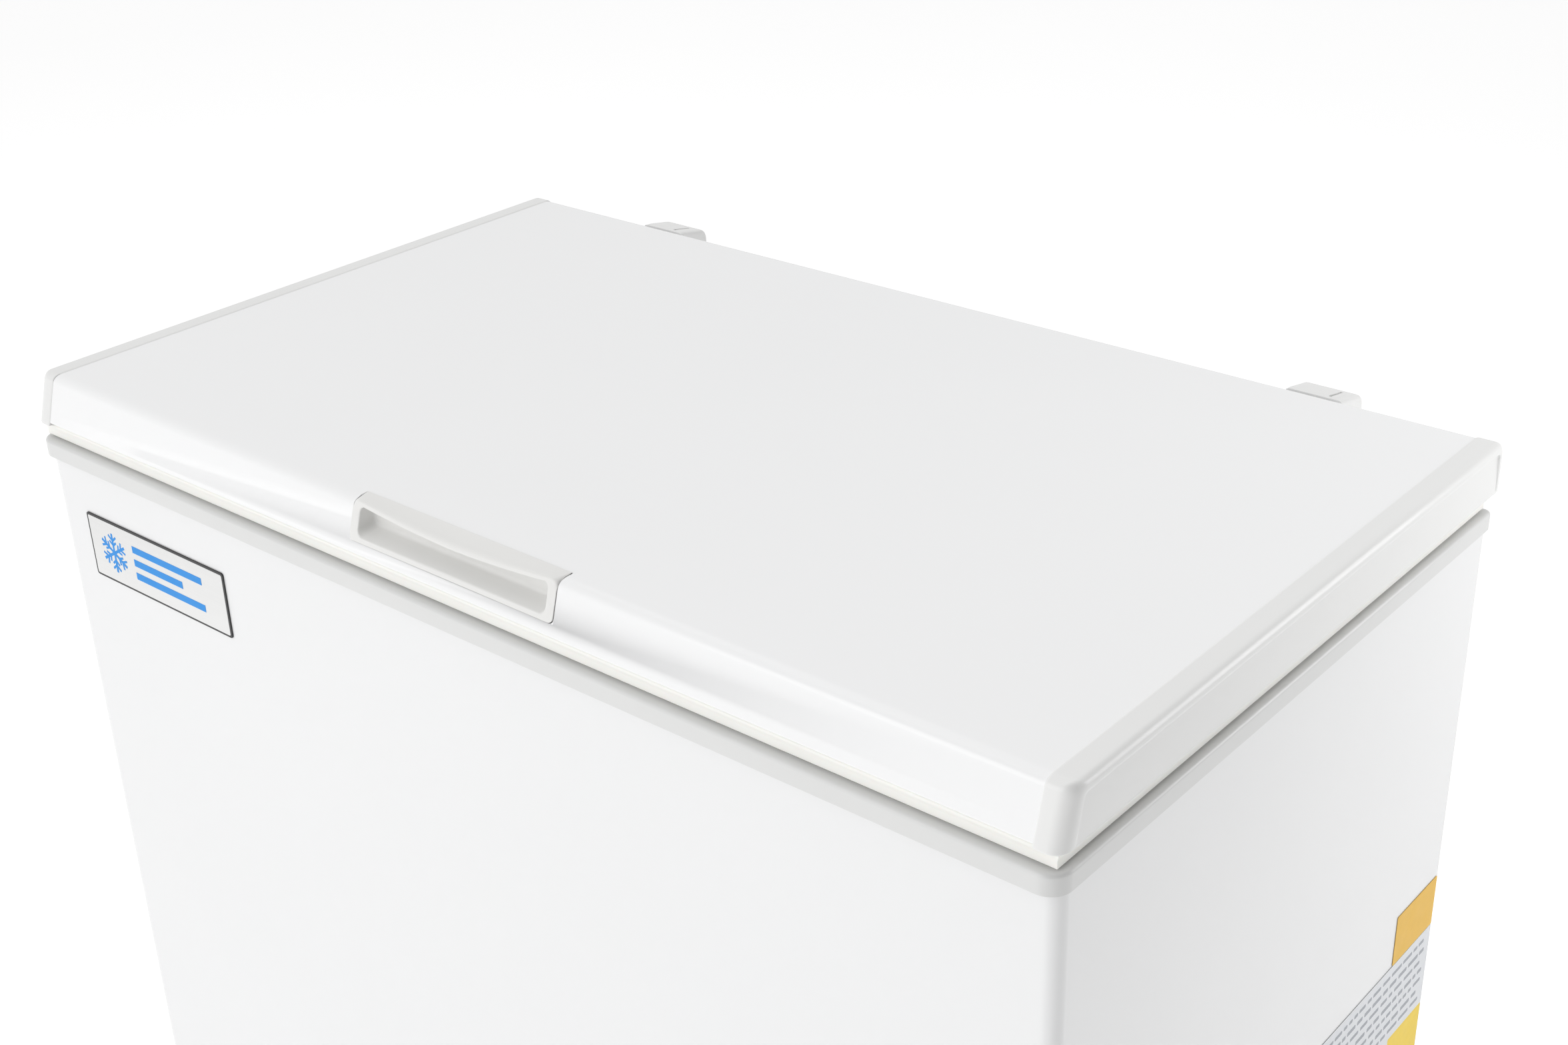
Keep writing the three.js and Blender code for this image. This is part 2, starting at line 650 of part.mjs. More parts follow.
// The side view of the lid from its front bottom edge over the top to its back bottom edge,
// moved inwards by an inset.
function lidOutline(inset, bottom, steps = 4) {
  const { slope, round } = LID;
  const frontAt = (z) => slope * (1 + z / -LID.capBottom) + inset;
  const points = [[frontAt(bottom), bottom]];
  const corner = new THREE.QuadraticBezierCurve(
    new THREE.Vector2(frontAt(-round), -round),
    new THREE.Vector2(frontAt(-inset) + 0.4, -inset),
    new THREE.Vector2(slope + round + inset * 0.4, -inset),
  );
  points.push(...corner.getPoints(steps).map((p) => [p.x, p.y]));
  const back = LID_DEPTH - inset;
  const rearRound = 8;
  const rear = new THREE.QuadraticBezierCurve(
    new THREE.Vector2(back - rearRound, -inset),
    new THREE.Vector2(back, -inset),
    new THREE.Vector2(back, -inset - rearRound),
  );
  points.push(...rear.getPoints(3).map((p) => [p.x, p.y]));
  points.push([back, bottom]);
  return points;
}

function lidSlab(inset, bottom, span) {
  return prismX(polygon(lidOutline(inset, bottom)), span);
}

function handleSpace(grow) {
  const half = HANDLE_HALF + grow;
  return box([-half, half], [-20, HANDLE.back + grow], [HANDLE.bottom - grow, 5]);
}

function lidSkin() {
  const outer = lidSlab(LID.skinDrop, LID.skinBottom, [-SKIN_HALF, SKIN_HALF]);
  const inner = lidSlab(LID.skinDrop + SHEET, LID.skinBottom + SHEET, [-LID_HALF, LID_HALF]);
  const hem = 12;
  const mouth = box([-LID_HALF, LID_HALF], [hem + 2, LID_DEPTH - hem - 3], [-60, -20]);
  return outer.subtract(inner).subtract(mouth).subtract(handleSpace(GAP));
}

// The white inner panel: a flat border that holds the seal, and a shallow plug inside it.
const INNER_PANEL = { half: 396, front: 81.5, back: 457.5, top: -34.4, bottom: -38.5, plug: -66 };

// The plug's outline at a height, drawn in by an inset.
function plugSection(inset, z) {
  const { half, front, back } = INNER_PANEL;
  const [x, y0, y1] = [half - inset, front + inset, back - inset];
  return [[-x, y0, z], [x, y0, z], [x, y1, z], [-x, y1, z]];
}

function lidFoam() {
  const inset = LID.skinDrop + SHEET + GAP;
  const slab = lidSlab(inset, LID.skinBottom + SHEET + GAP, [-SKIN_HALF, SKIN_HALF]);
  const pocket = box([-HANDLE_HALF - 1, HANDLE_HALF + 1], [-20, HANDLE.back + 0.5], [-60, 5]);
  const { plug } = INNER_PANEL;
  const filling = loft([plugSection(11.5, plug + 2.4), plugSection(2.6, plug + 10), plugSection(2.6, -30)]);
  return slab.subtract(pocket).add(filling);
}

function lidLiner() {
  const { top, bottom, plug } = INNER_PANEL;
  const plate = box([-SKIN_HALF, SKIN_HALF], [1.6, LID_DEPTH - 3.6], [bottom, top]);
  const dome = loft([plugSection(9, plug), plugSection(0, plug + 9), plugSection(0, bottom + 1)]);
  const hollow = loft([plugSection(11, plug + 2), plugSection(2.2, plug + 10), plugSection(2.2, top + 5)]);
  return plate.add(dome).subtract(hollow);
}

const SEAL = { inset: 4.5, top: -38.8, bottom: -50.7, width: 20 };

function sealRing(inset, width, [z0, z1]) {
  const [x, y0, y1] = [LID_HALF - inset, inset, LID_DEPTH - inset - 3];
  const outer = box([-x, x], [y0, y1], [z0, z1]);
  return outer.subtract(box([width - x, x - width], [y0 + width, y1 - width], [z0 - 1, z1 + 1]));
}

function lidGasket() {
  const { inset, top, bottom, width } = SEAL;
  const bead = sealRing(inset, width, [top - 3.4, top]);
  const bellows = sealRing(inset + 2.2, width - 4, [top - 6, top - 3]);
  const magnetStrip = sealRing(inset + 0.3, width, [bottom, top - 5.6]);
  return union([bead, bellows, magnetStrip]);
}

// A moulded end cap: a hollow tray with its open side to the lid.
function lidEndCap(side) {
  const bevel = 5;
  const outline = polygon(lidOutline(bevel, LID.capBottom + bevel));
  const options = { depth: CAP_WIDTH - bevel, bevelThickness: bevel, bevelSize: bevel, bevelSegments: 3 };
  const geometry = new THREE.ExtrudeGeometry(outline, options);
  geometry.rotateX(Math.PI / 2).rotateZ(Math.PI / 2).translate(LID_HALF - CAP_WIDTH, 0, 0);
  const whole = solidOf(geometry).subtract(box([0, LID_HALF - CAP_WIDTH], [-50, 600], [-90, 50]));
  const hollow = lidSlab(2.4, LID.capBottom + 2.4, [LID_HALF - CAP_WIDTH - 1, LID_HALF - 2.6]);
  const cap = whole.subtract(hollow);
  return side === 'left' ? cap.mirror([1, 0, 0]) : cap;
}

// The finger pull: a flat rim on the slope of the lid's front, with a pocket in it. The top of the rim dips
// in the middle, and a scoop falls to it from the lid's top.
const HANDLE = { bottom: -28, back: 24, lift: 0.2, pocketHalf: 89.5, pocketLow: -24.3, pocketBack: 20.5 };

const LIP = { half: 88, top: -0.5, topDip: 4.4, mouth: -4, mouthDip: 4.6 };

// How far the lip dips at x, from nothing at its ends to 1 in the middle.
function lipDip(x) {
  return 1 - (Math.min(Math.abs(x), LIP.half) / LIP.half) ** 1.7;
}

function lipStations() {
  const count = 12;
  return Array.from({ length: count + 1 }, (_, i) => LIP.half * ((2 * i) / count - 1));
}

function lidHandle() {
  const rimAt = (z) => LID.slope * (1 + z / -LID.capBottom) + HANDLE.lift;
  const { bottom, back } = HANDLE;
  const section = [[rimAt(bottom), bottom], [rimAt(LIP.top), LIP.top], [back, -HANDLE.lift], [back, bottom]];
  const block = prismX(polygon(section), [-HANDLE_HALF, HANDLE_HALF]);
  const scoop = loft(lipStations().map((x) => {
    const lipZ = LIP.top - LIP.topDip * lipDip(x);
    const rear = back - 1;
    return [[x, -5, lipZ + 1], [x, rimAt(lipZ), lipZ], [x, rear, 0.2], [x, rear, 6], [x, -5, 6]];
  }));
  const pocket = loft([-HANDLE.pocketHalf, ...lipStations(), HANDLE.pocketHalf].map((x) => {
    const ceiling = LIP.mouth - LIP.mouthDip * lipDip(x);
    const { pocketLow: low, pocketBack: deep } = HANDLE;
    return [[x, -9, low], [x, 5, low], [x, deep, low + 3.7], [x, deep, ceiling], [x, -9, ceiling]];
  }));
  return block.subtract(scoop).subtract(pocket);
}

// ---- hinges, in a frame centred on each pin ----

const BRACKET = { half: 11, plateHalf: 20, top: 783, bottom: 700 };

function hingeBracket() {
  const plateFront = CABINET.back + GAP - HINGE_PIVOT.y;
  const plate = box(
    [-BRACKET.plateHalf, BRACKET.plateHalf],
    [plateFront, plateFront + 2],
    [BRACKET.bottom - HINGE_PIVOT.z, BRACKET.top - HINGE_PIVOT.z],
  );
  const ear = polygon([
    [plateFront + 1, -75], [plateFront + 6, -75], [6, -12], [8, 0], [4, 7], [-4, 7], [-8, 0], [-15, -12],
    [plateFront + 5, -26], [plateFront + 1, -26],
  ]);
  const ears = [-BRACKET.half, BRACKET.half - 2].map((x) => prismX(ear, [x, x + 2]));
  const bore = rod('x', 3.3, [-40, 40], [0, 0]);
  const screwHoles = [-65, -88].map((z) => rod('y', 2.4, [plateFront - 5, plateFront + 6], [0, z]));
  return screwHoles.reduce((solid, hole) => solid.subtract(hole), union([plate, ...ears]).subtract(bore));
}

function hingeArm() {
  const lidBack = LID_FRONT_Y + LID_DEPTH + GAP - HINGE_PIVOT.y;
  const plate = box([-16.5, 16.5], [lidBack, lidBack + 2], [12, 36]);
  const ear = polygon([
    [lidBack + 1, 12], [-8, -2], [-4, -7], [4, -7], [8, 0], [8, 8], [lidBack + 12, 36], [lidBack + 1, 36],
  ]);
  const ears = [-16.5, 14.5].map((x) => prismX(ear, [x, x + 2]));
  return union([plate, ...ears]).subtract(rod('x', 3.3, [-40, 40], [0, 0]));
}

function hingePin() {
  const shank = rod('x', 2.9, [-18, 18], [0, 0]);
  const head = rod('x', 4.6, [17, 18.8], [0, 0]);
  return shank.add(head);
}

function hingeSpring() {
  const turns = 3;
  const perTurn = 8;
  const stops = [];
  for (let i = 0; i <= turns * perTurn; i += 1) {
    const angle = (2 * Math.PI * i) / perTurn;
    stops.push([-6.5 + (13 * i) / (turns * perTurn), 5.6 * Math.cos(angle), 5.6 * Math.sin(angle)]);
  }
  return tube(new StopPath(vectors(stops)), 1.1, 4);
}

// The moulded cover sits over the hinge, open underneath and towards the lid.
function hingeCover() {
  const lidBack = LID_FRONT_Y + LID_DEPTH + GAP - HINGE_PIVOT.y;
  const rear = 289.5 - HINGE_PIVOT.y;
  const side = polygon([
    [lidBack, 4], [lidBack, 43], [lidBack + 6, 42.6], [rear - 4, 38], [rear - 1, 36.5], [rear, 33],
    [rear, 9], [6, -8], [-8, -8],
  ]);
  const inner = polygon([
    [lidBack - 9, -20], [lidBack - 9, 41], [lidBack + 6, 40.6], [rear - 5, 36.2], [rear - 2, 33],
    [rear - 2, -20],
  ]);
  const outer = prismX(side, [-23, 23]);
  const dish = polygon([[lidBack + 3, 41.4], [rear - 5, 37], [rear - 5, 60], [lidBack + 3, 60]]);
  return outer.subtract(prismX(inner, [-21, 21])).subtract(prismX(dish, [-19, 15]));
}

function screw() {
  const head = turned([[0, 0], [4.2, 0], [4.2, 1.2], [2.4, 2.6], [0, 2.8]], 10);
  const shank = rod('z', 2, [-2.6, 0.5], [0, 0], 8);
  return head.add(shank).rotate([-90, 0, 0]);
}

// ---- assembly ----

function cabinetGroup() {
  const group = new THREE.Group();
  group.add(
    piece('cabinet_wrapper', cabinetWrapper(), paintedWhite),
    piece('back_panel', backPanel(), galvanised),
    piece('base_pan', basePan(), galvanised),
    piece('foam_insulation', foamInsulation(), foamYellow),
    piece('inner_liner', innerLiner(), linerMetal),
    piece('top_collar', topCollar(), whitePlastic),
    piece('badge_backing', badgeBacking(), blackPlastic),
    piece('badge_face', badgeFace(), badgeSilver),
    piece('badge_emblem', badgeEmblem(), iceBlue),
    piece('side_label', sideLabel(), labelPaper),
    piece('feature_sticker', featureSticker(), labelOrange),
    piece('control_panel', controlPanel(), warmPlastic),
    piece('thermostat_body', thermostatBody(), blackPlastic),
    indicator('power_indicator', PANEL.x + 12, greenLens),
    indicator('run_indicator', PANEL.x + 34, amberLens),
    piece('side_grille', sideGrille(), whitePlastic),
    piece('rear_service_cover', rearServiceCover(), galvanised),
    piece('cord_gland', cordGland(), blackRubber),
    piece('evaporator_coil', tube(evaporatorPath(), EVAPORATOR.radius), copper),
    piece('condenser_coil', tube(condenserPath(), CONDENSER.radius), copper),
    piece('drain_tube', drainTube(), whitePlastic),
  );
  for (const [name, x, y] of FOOT_PLACES) {
    group.add(placed(piece('foot_' + name, foot(), blackPlastic), x, y, 0));
  }
  return group;
}

function compressorGroup() {
  const group = new THREE.Group();
  group.add(
    piece('compressor_mount_plate', compressorPlate(), galvanised),
    piece('compressor_shell', compressorShell(), blackPaint),
    piece('relay_cover', relayCover(), blackPlastic),
    piece('filter_drier', filterDrier(), copper),
    piece('discharge_tube', dischargeTube(), copper),
    piece('suction_tube', suctionTube(), copper),
  );
  GROMMET_PLACES.forEach(([dx, dy], i) => {
    const mesh = piece('compressor_grommet_' + (i + 1), grommet(), blackRubber);
    group.add(placed(mesh, COMPRESSOR.x + dx, COMPRESSOR.y + dy, 26.2));
  });
  return group;
}

function lidGroup() {
  const group = new THREE.Group();
  group.add(
    piece('lid_skin', lidSkin(), paintedWhite),
    piece('lid_foam', lidFoam(), foamYellow),
    piece('lid_liner', lidLiner(), whitePlastic),
    piece('lid_gasket', lidGasket(), creamVinyl),
    piece('lid_end_cap_left', lidEndCap('left'), whitePlastic),
    piece('lid_end_cap_right', lidEndCap('right'), whitePlastic),
    piece('lid_handle', lidHandle(), warmPlastic),
  );
  group.position.set(0, LID_FRONT_Y, HEIGHT);
  return group;
}

function hingeGroup(side, x) {
  const group = new THREE.Group();
  group.add(
    piece('hinge_bracket_' + side, hingeBracket(), zincSteel),
    piece('hinge_arm_' + side, hingeArm(), zincSteel),
    piece('hinge_pin_' + side, hingePin(), zincSteel),
    piece('hinge_spring_' + side, hingeSpring(), springSteel),
    piece('hinge_cover_' + side, hingeCover(), whitePlastic),
  );
  const plateBack = CABINET.back + GAP + 2 - HINGE_PIVOT.y;
  [['upper', -65], ['lower', -88]].forEach(([place, z]) => {
    const mesh = piece('hinge_screw_' + side + '_' + place, screw(), zincSteel);
    group.add(placed(mesh, 0, plateBack + GAP, z));
  });
  group.position.set(x, HINGE_PIVOT.y, HINGE_PIVOT.z);
  return group;
}

function chestFreezer() {
  const group = new THREE.Group();
  group.add(
    cabinetGroup(),
    compressorGroup(),
    lidGroup(),
    piece('thermostat_knob', thermostatKnob(), whitePlastic),
    piece('drain_cap', drainCap(), whitePlastic),
    piece('drain_plug', drainPlug(), blackRubber),
    piece('basket', basket(), wireWhite),
  );
  for (const [side, x] of HINGE_CENTRES) group.add(hingeGroup(side, x));
  return group;
}

export default chestFreezer();
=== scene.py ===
"""A white chest freezer with a hinged lid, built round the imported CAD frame.

Lengths are in millimetres until a mesh is made; the camera and the lights are placed in metres. The
shared frame has +X right along the front, +Y to the back, +Z up and its origin on the floor. Lid points
have y = 0 at the lid's front bottom edge and z = 0 at its top.
"""
import math
import random

import bmesh
import bpy
from mathutils import Matrix, Vector


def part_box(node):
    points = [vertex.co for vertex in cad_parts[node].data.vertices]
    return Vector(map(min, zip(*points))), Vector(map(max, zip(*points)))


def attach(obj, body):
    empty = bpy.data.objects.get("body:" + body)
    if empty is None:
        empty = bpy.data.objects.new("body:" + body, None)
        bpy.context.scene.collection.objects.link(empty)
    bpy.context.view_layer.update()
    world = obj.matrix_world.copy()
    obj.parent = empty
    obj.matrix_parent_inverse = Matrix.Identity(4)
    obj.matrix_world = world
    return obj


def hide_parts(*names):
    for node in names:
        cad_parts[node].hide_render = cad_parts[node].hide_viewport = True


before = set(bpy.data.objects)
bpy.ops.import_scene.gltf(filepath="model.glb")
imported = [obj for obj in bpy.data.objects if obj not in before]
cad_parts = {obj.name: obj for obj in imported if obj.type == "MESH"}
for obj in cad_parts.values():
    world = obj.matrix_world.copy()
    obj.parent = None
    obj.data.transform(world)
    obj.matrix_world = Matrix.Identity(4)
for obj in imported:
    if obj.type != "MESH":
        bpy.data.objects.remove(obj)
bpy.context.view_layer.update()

MM = 0.001


def span(node):
    """Lowest and highest corner of a CAD node, in millimetres."""
    low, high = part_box(node)
    return low / MM, high / MM


# ---- places taken from the frame, and the few sizes that shape what stands there ----

CABINET_LOW, CABINET_HIGH = span("cabinet_wrapper")
COLLAR_LOW, COLLAR_HIGH = span("top_collar")
CAP_LOW, CAP_HIGH = span("lid_end_cap_right")
SKIN_LOW, SKIN_HIGH = span("lid_skin")
SEAL_LOW, SEAL_HIGH = span("lid_gasket")
PULL_LOW, PULL_HIGH = span("lid_handle")
LINER_LOW, LINER_HIGH = span("inner_liner")

LID_HALF = CAP_HIGH.x
# The lid's front leans back by LID_SLOPE over its edge's height; its sheet lies SKIN_DROP under the caps,
# and its hems reach HEM_DROP lower than the CAD skin.
LID_SLOPE = 11.5
LID_EDGE = CAP_HIGH.z - CAP_LOW.z
HEM_DROP = 2.6
SKIN_DROP = CAP_HIGH.z - SKIN_HIGH.z
LID_FRONT = SKIN_LOW.y - SKIN_DROP - LID_SLOPE * (SKIN_LOW.z - CAP_LOW.z) / LID_EDGE
LID_DEPTH = CAP_HIGH.y - LID_FRONT
LID_ORIGIN = Vector((0, LID_FRONT, CAP_HIGH.z))
SHEET = 1


# ---- meshes ----

def rounded_rectangle(x_span, y_span, radii, steps=10):
    """Points round a rectangle from its low corner, anticlockwise; a radius for each corner."""
    (x0, x1), (y0, y1) = x_span, y_span
    corners = ((x0, y0, 1, 1), (x1, y0, -1, 1), (x1, y1, -1, -1), (x0, y1, 1, -1))
    points = []
    for index, ((x, y, inward_x, inward_y), radius) in enumerate(zip(corners, radii)):
        for step in range(steps + 1):
            angle = math.radians(180 + 90 * (index + step / steps))
            centre = (x + inward_x * radius, y + inward_y * radius)
            points.append((centre[0] + radius * math.cos(angle), centre[1] + radius * math.sin(angle)))
    return points


def level_ring(x_span, y_span, z, radii, steps=10):
    return [(x, y, z) for x, y in rounded_rectangle(x_span, y_span, radii, steps)]


def ring_inside(low, high, inset, z, radii, steps=10):
    """A level ring an inset inside the sides of a box that runs from low to high."""
    return level_ring((low.x + inset, high.x - inset), (low.y + inset, high.y - inset), z, radii, steps)


def loft(rings, closed=False, caps=(True, True)):
    """Points and faces of a skin over like rings; with closed, the last ring joins the first."""
    sides = len(rings[0])
    points = [point for ring in rings for point in ring]
    faces = []
    for index in range(len(rings) if closed else len(rings) - 1):
        here, there = index * sides, (index + 1) % len(rings) * sides
        for i in range(sides):
            j = (i + 1) % sides
            faces.append((here + i, here + j, there + j, there + i))
    if not closed and caps[0]:
        faces.append(tuple(range(sides)))
    if not closed and caps[1]:
        faces.append(tuple(range(len(points) - sides, len(points))))
    return points, faces


def joined(parts):
    """Several (points, faces) as one."""
    points, faces = [], []
    for part_points, part_faces in parts:
        offset = len(points)
        points.extend(part_points)
        faces.extend(tuple(i + offset for i in face) for face in part_faces)
    return points, faces


def mirrored(part):
    points, faces = part
    return [(-x, y, z) for x, y, z in points], faces


def turned(profile, centre, axis="z", segments=48, waves=0, wave_depth=0.0):
    """A turned body through (radius, height) stations along y or z, with optional flutes round it."""
    rings = []
    for radius, height in profile:
        ring = []
        for i in range(segments):
            angle = 2 * math.pi * i / segments
            reach = radius
            if waves and radius > wave_depth:
                reach -= wave_depth * (0.5 + 0.5 * math.cos(waves * angle))
            u, v = reach * math.cos(angle), reach * math.sin(angle)
            point = (u, height, v) if axis == "y" else (u, v, height)
            ring.append(tuple(Vector(point) + Vector(centre)))
        rings.append(ring)
    return loft(rings)


def slab(x_span, y_span, z_span):
    (x0, x1), (y0, y1) = x_span, y_span
    return loft([[(x0, y0, z), (x1, y0, z), (x1, y1, z), (x0, y1, z)] for z in z_span])


def plate(x_span, z_span, y_span, radius, edge=0.3, steps=6):
    """An upright plate facing -Y with rounded corners and a small rounding round its front."""
    front, back = y_span
    rings = []
    for inset, y in ((0, back), (0, front + edge), (edge * 0.3, front + edge * 0.3), (edge, front)):
        x_in = (x_span[0] + inset, x_span[1] - inset)
        z_in = (z_span[0] + inset, z_span[1] - inset)
        outline = rounded_rectangle(x_in, z_in, [max(radius - inset, 0.05)] * 4, steps)
        rings.append([(x, y, z) for x, z in outline])
    return loft(rings)


def tube(path, radius, sides=12):
    """A round wire along a path of points, with flat ends."""
    path = [Vector(p) for p in path]
    rings = []
    normal = None
    for i, point in enumerate(path):
        before = path[max(i - 1, 0)]
        after = path[min(i + 1, len(path) - 1)]
        along = (after - before).normalized()
        if normal is None:
            normal = along.orthogonal().normalized()
        normal = (normal - along * normal.dot(along)).normalized()
        across = along.cross(normal)
        ring = []
        for k in range(sides):
            angle = 2 * math.pi * k / sides
            ring.append(tuple(point + radius * (math.cos(angle) * normal + math.sin(angle) * across)))
        rings.append(ring)
    return loft(rings)


def bent(corners, radius, steps=5):
    """A path through corners, each rounded by a curve."""
    corners = [Vector(c) for c in corners]
    path = [corners[0]]
    for before, corner, after in zip(corners, corners[1:], corners[2:]):
        start = corner + (before - corner).normalized() * radius
        end = corner + (after - corner).normalized() * radius
        for i in range(steps + 1):
            t = i / steps
            path.append(start * (1 - t) ** 2 + corner * 2 * t * (1 - t) + end * t ** 2)
    path.append(corners[-1])
    return path


def clean(mesh):
    """Joins points that coincide, drops faces without area and turns the faces outwards."""
    work = bmesh.new()
    work.from_mesh(mesh)
    bmesh.ops.remove_doubles(work, verts=work.verts, dist=2e-6)
    bmesh.ops.dissolve_degenerate(work, edges=work.edges, dist=1e-6)
    bmesh.ops.recalc_face_normals(work, faces=work.faces)
    work.to_mesh(mesh)
    work.free()


def solid(name, part):
    """A Blender object from points in millimetres and faces."""
    points, faces = part
    mesh = bpy.data.meshes.new(name)
    mesh.from_pydata([Vector(p) * MM for p in points], [], faces)
    clean(mesh)
    obj = bpy.data.objects.new(name, mesh)
    bpy.context.scene.collection.objects.link(obj)
    return obj


def cut(obj, *parts):
    """Takes closed bodies out of obj, and keeps the result as its mesh."""
    for part in parts:
        cutter = solid("cutter", part)
        difference = obj.modifiers.new("cut", "BOOLEAN")
        difference.operation = "DIFFERENCE"
        difference.solver = "EXACT"
        difference.object = cutter
        view = bpy.context.evaluated_depsgraph_get()
        result = bpy.data.meshes.new_from_object(obj.evaluated_get(view))
        obj.modifiers.clear()
        obj.data = result
        bpy.data.objects.remove(cutter)
    clean(obj.data)


def shade(obj, angle=32):
    obj.data.shade_smooth()
    obj.data.set_sharp_from_angle(angle=math.radians(angle))
    normals = obj.modifiers.new("even_normals", "WEIGHTED_NORMAL")
    normals.keep_sharp = True


def soften(obj, width, segments=2, angle=35):
    """Rounds the sharp edges by a width in millimetres."""
    bevel = obj.modifiers.new("edges", "BEVEL")
    bevel.width = width * MM
    bevel.segments = segments
    bevel.limit_method = "ANGLE"
    bevel.angle_limit = math.radians(angle)


def place(obj, material, body, slot, *nodes):
    """Gives a finished object its material and its body, and hides the CAD nodes it stands for; slot is not
    used.
    """
    obj.data.materials.append(material)
    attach(obj, body)
    if nodes:
        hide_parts(*nodes)


def piece(name, part, material, body, slot, *nodes, sharp=32):
    """An object from points and faces, shaded and given what place gives."""
    obj = solid(name, part)
    shade(obj, sharp)
    place(obj, material, body, slot, *nodes)


# ---- materials ----

# The part of a noise's range that a colour or a roughness is spread over.
NOISE_RANGE = (0.1, 0.9)


def feed(node, **sockets):
    """Sets inputs of a node; an underscore stands for the space in a socket's name."""
    for socket, value in sockets.items():
        node.inputs[socket.replace("_", " ")].default_value = value


class Nodes:
    """A material with one Principled shader, and short calls for the nodes that feed it."""

    def __init__(self, name, **sockets):
        self.material = bpy.data.materials.new(name)
        self.material.use_nodes = True
        self.tree = self.material.node_tree
        self.shader = self.tree.nodes["Principled BSDF"]
        feed(self.shader, **sockets)
        self.bumps = None

    def add(self, kind, **settings):
        node = self.tree.nodes.new(kind)
        for name, value in settings.items():
            setattr(node, name, value)
        return node

    def link(self, output, socket):
        self.tree.links.new(output, socket)

    def place_vector(self, stretch=(1, 1, 1)):
        coordinates = self.add("ShaderNodeTexCoord")
        mapping = self.add("ShaderNodeMapping")
        feed(mapping, Scale=stretch)
        self.link(coordinates.outputs["Object"], mapping.inputs["Vector"])
        return mapping.outputs["Vector"]

    def noise(self, scale, detail, stretch=(1, 1, 1)):
        node = self.add("ShaderNodeTexNoise")
        feed(node, Scale=scale, Detail=detail)
        self.link(self.place_vector(stretch), node.inputs["Vector"])
        return node.outputs["Fac"]

    def cells(self, scale, feature="F1", output="Distance"):
        node = self.add("ShaderNodeTexVoronoi", feature=feature)
        feed(node, Scale=scale)
        self.link(self.place_vector(), node.inputs["Vector"])
        return node.outputs[output]

    def colours(self, factor, colour, darkest, lightest):
        """Spreads the base colour between two multiples of a colour."""
        node = self.add("ShaderNodeValToRGB")
        for element, position, share in zip(node.color_ramp.elements, NOISE_RANGE, (darkest, lightest)):
            element.position = position
            element.color = (*(min(1.0, channel * share) for channel in colour), 1)
        self.link(factor, node.inputs["Fac"])
        self.link(node.outputs["Color"], self.shader.inputs["Base Color"])

    def rough(self, factor, low, high):
        node = self.add("ShaderNodeMapRange")
        feed(node, From_Min=NOISE_RANGE[0], From_Max=NOISE_RANGE[1], To_Min=low, To_Max=high)
        self.link(factor, node.inputs["Value"])
        self.link(node.outputs["Result"], self.shader.inputs["Roughness"])

    def bump(self, height, distance, strength):
        """Adds a relief whose height is in millimetres."""
        node = self.add("ShaderNodeBump")
        feed(node, Strength=strength, Distance=distance * MM)
        self.link(height, node.inputs["Height"])
        if self.bumps is not None:
            self.link(self.bumps, node.inputs["Normal"])
        self.bumps = node.outputs["Normal"]
        self.link(self.bumps, self.shader.inputs["Normal"])


def painted_steel(name, colour, roughness=0.3):
    """Powder paint: an orange-peel relief, faint cloudiness and a thin clear gloss."""
    nodes = Nodes(name, Coat_Weight=0.25, Coat_Roughness=0.12, IOR=1.5)
    nodes.colours(nodes.noise(3.0, 4), colour, 0.988, 1.006)
    nodes.rough(nodes.noise(14.0, 4), roughness - 0.03, roughness + 0.04)
    nodes.bump(nodes.noise(420.0, 2), 0.02, 0.5)
    return nodes.material


def moulded_plastic(name, colour, roughness=0.42, grain=0.012, gloss=0.0):
    """Injection-moulded plastic: a spark-eroded grain, soft flow marks and handling polish."""
    nodes = Nodes(name, IOR=1.48, Coat_Weight=gloss, Coat_Roughness=0.08)
    nodes.colours(nodes.noise(9.0, 5, (1, 1, 2.5)), colour, 0.975, 1.008)
    nodes.rough(nodes.noise(26.0, 4), roughness - 0.05, roughness + 0.05)
    nodes.bump(nodes.noise(2200.0, 2), grain, 0.7)
    nodes.bump(nodes.noise(55.0, 2), 0.03, 0.25)
    return nodes.material


def soft_vinyl(name, colour):
    """The flexible seal: matt, a little cloudy, with fine lines along its length."""
    nodes = Nodes(name, IOR=1.5, Subsurface_Weight=0.06, Subsurface_Scale=0.004)
    nodes.colours(nodes.noise(18.0, 4), colour, 0.965, 1.01)
    nodes.rough(nodes.noise(40.0, 3), 0.5, 0.62)
    nodes.bump(nodes.noise(700.0, 2, (0.1, 0.1, 1)), 0.03, 0.5)
    return nodes.material


def rolled_metal(name, colour, roughness, stretch=(1, 1, 1), spangle=0.0):
    """Bare or plated sheet: rolling lines along one axis, and a zinc spangle where it has one."""
    nodes = Nodes(name, Metallic=1.0)
    grain = nodes.noise(900.0, 3, stretch)
    if spangle:
        nodes.colours(nodes.cells(spangle, output="Color"), colour, 0.88, 1.06)
    else:
        nodes.colours(nodes.noise(30.0, 4, stretch), colour, 0.93, 1.05)
    nodes.rough(grain, roughness - 0.06, roughness + 0.08)
    nodes.bump(grain, 0.01, 0.4)
    return nodes.material


def stucco_metal(name, colour):
    """The liner's embossed sheet: a pebbled relief that hides scratches."""
    nodes = Nodes(name, Metallic=0.85)
    nodes.colours(nodes.noise(24.0, 4), colour, 0.95, 1.03)
    nodes.rough(nodes.noise(60.0, 3), 0.3, 0.42)
    nodes.bump(nodes.cells(210.0, "SMOOTH_F1"), 0.35, 0.5)
    return nodes.material


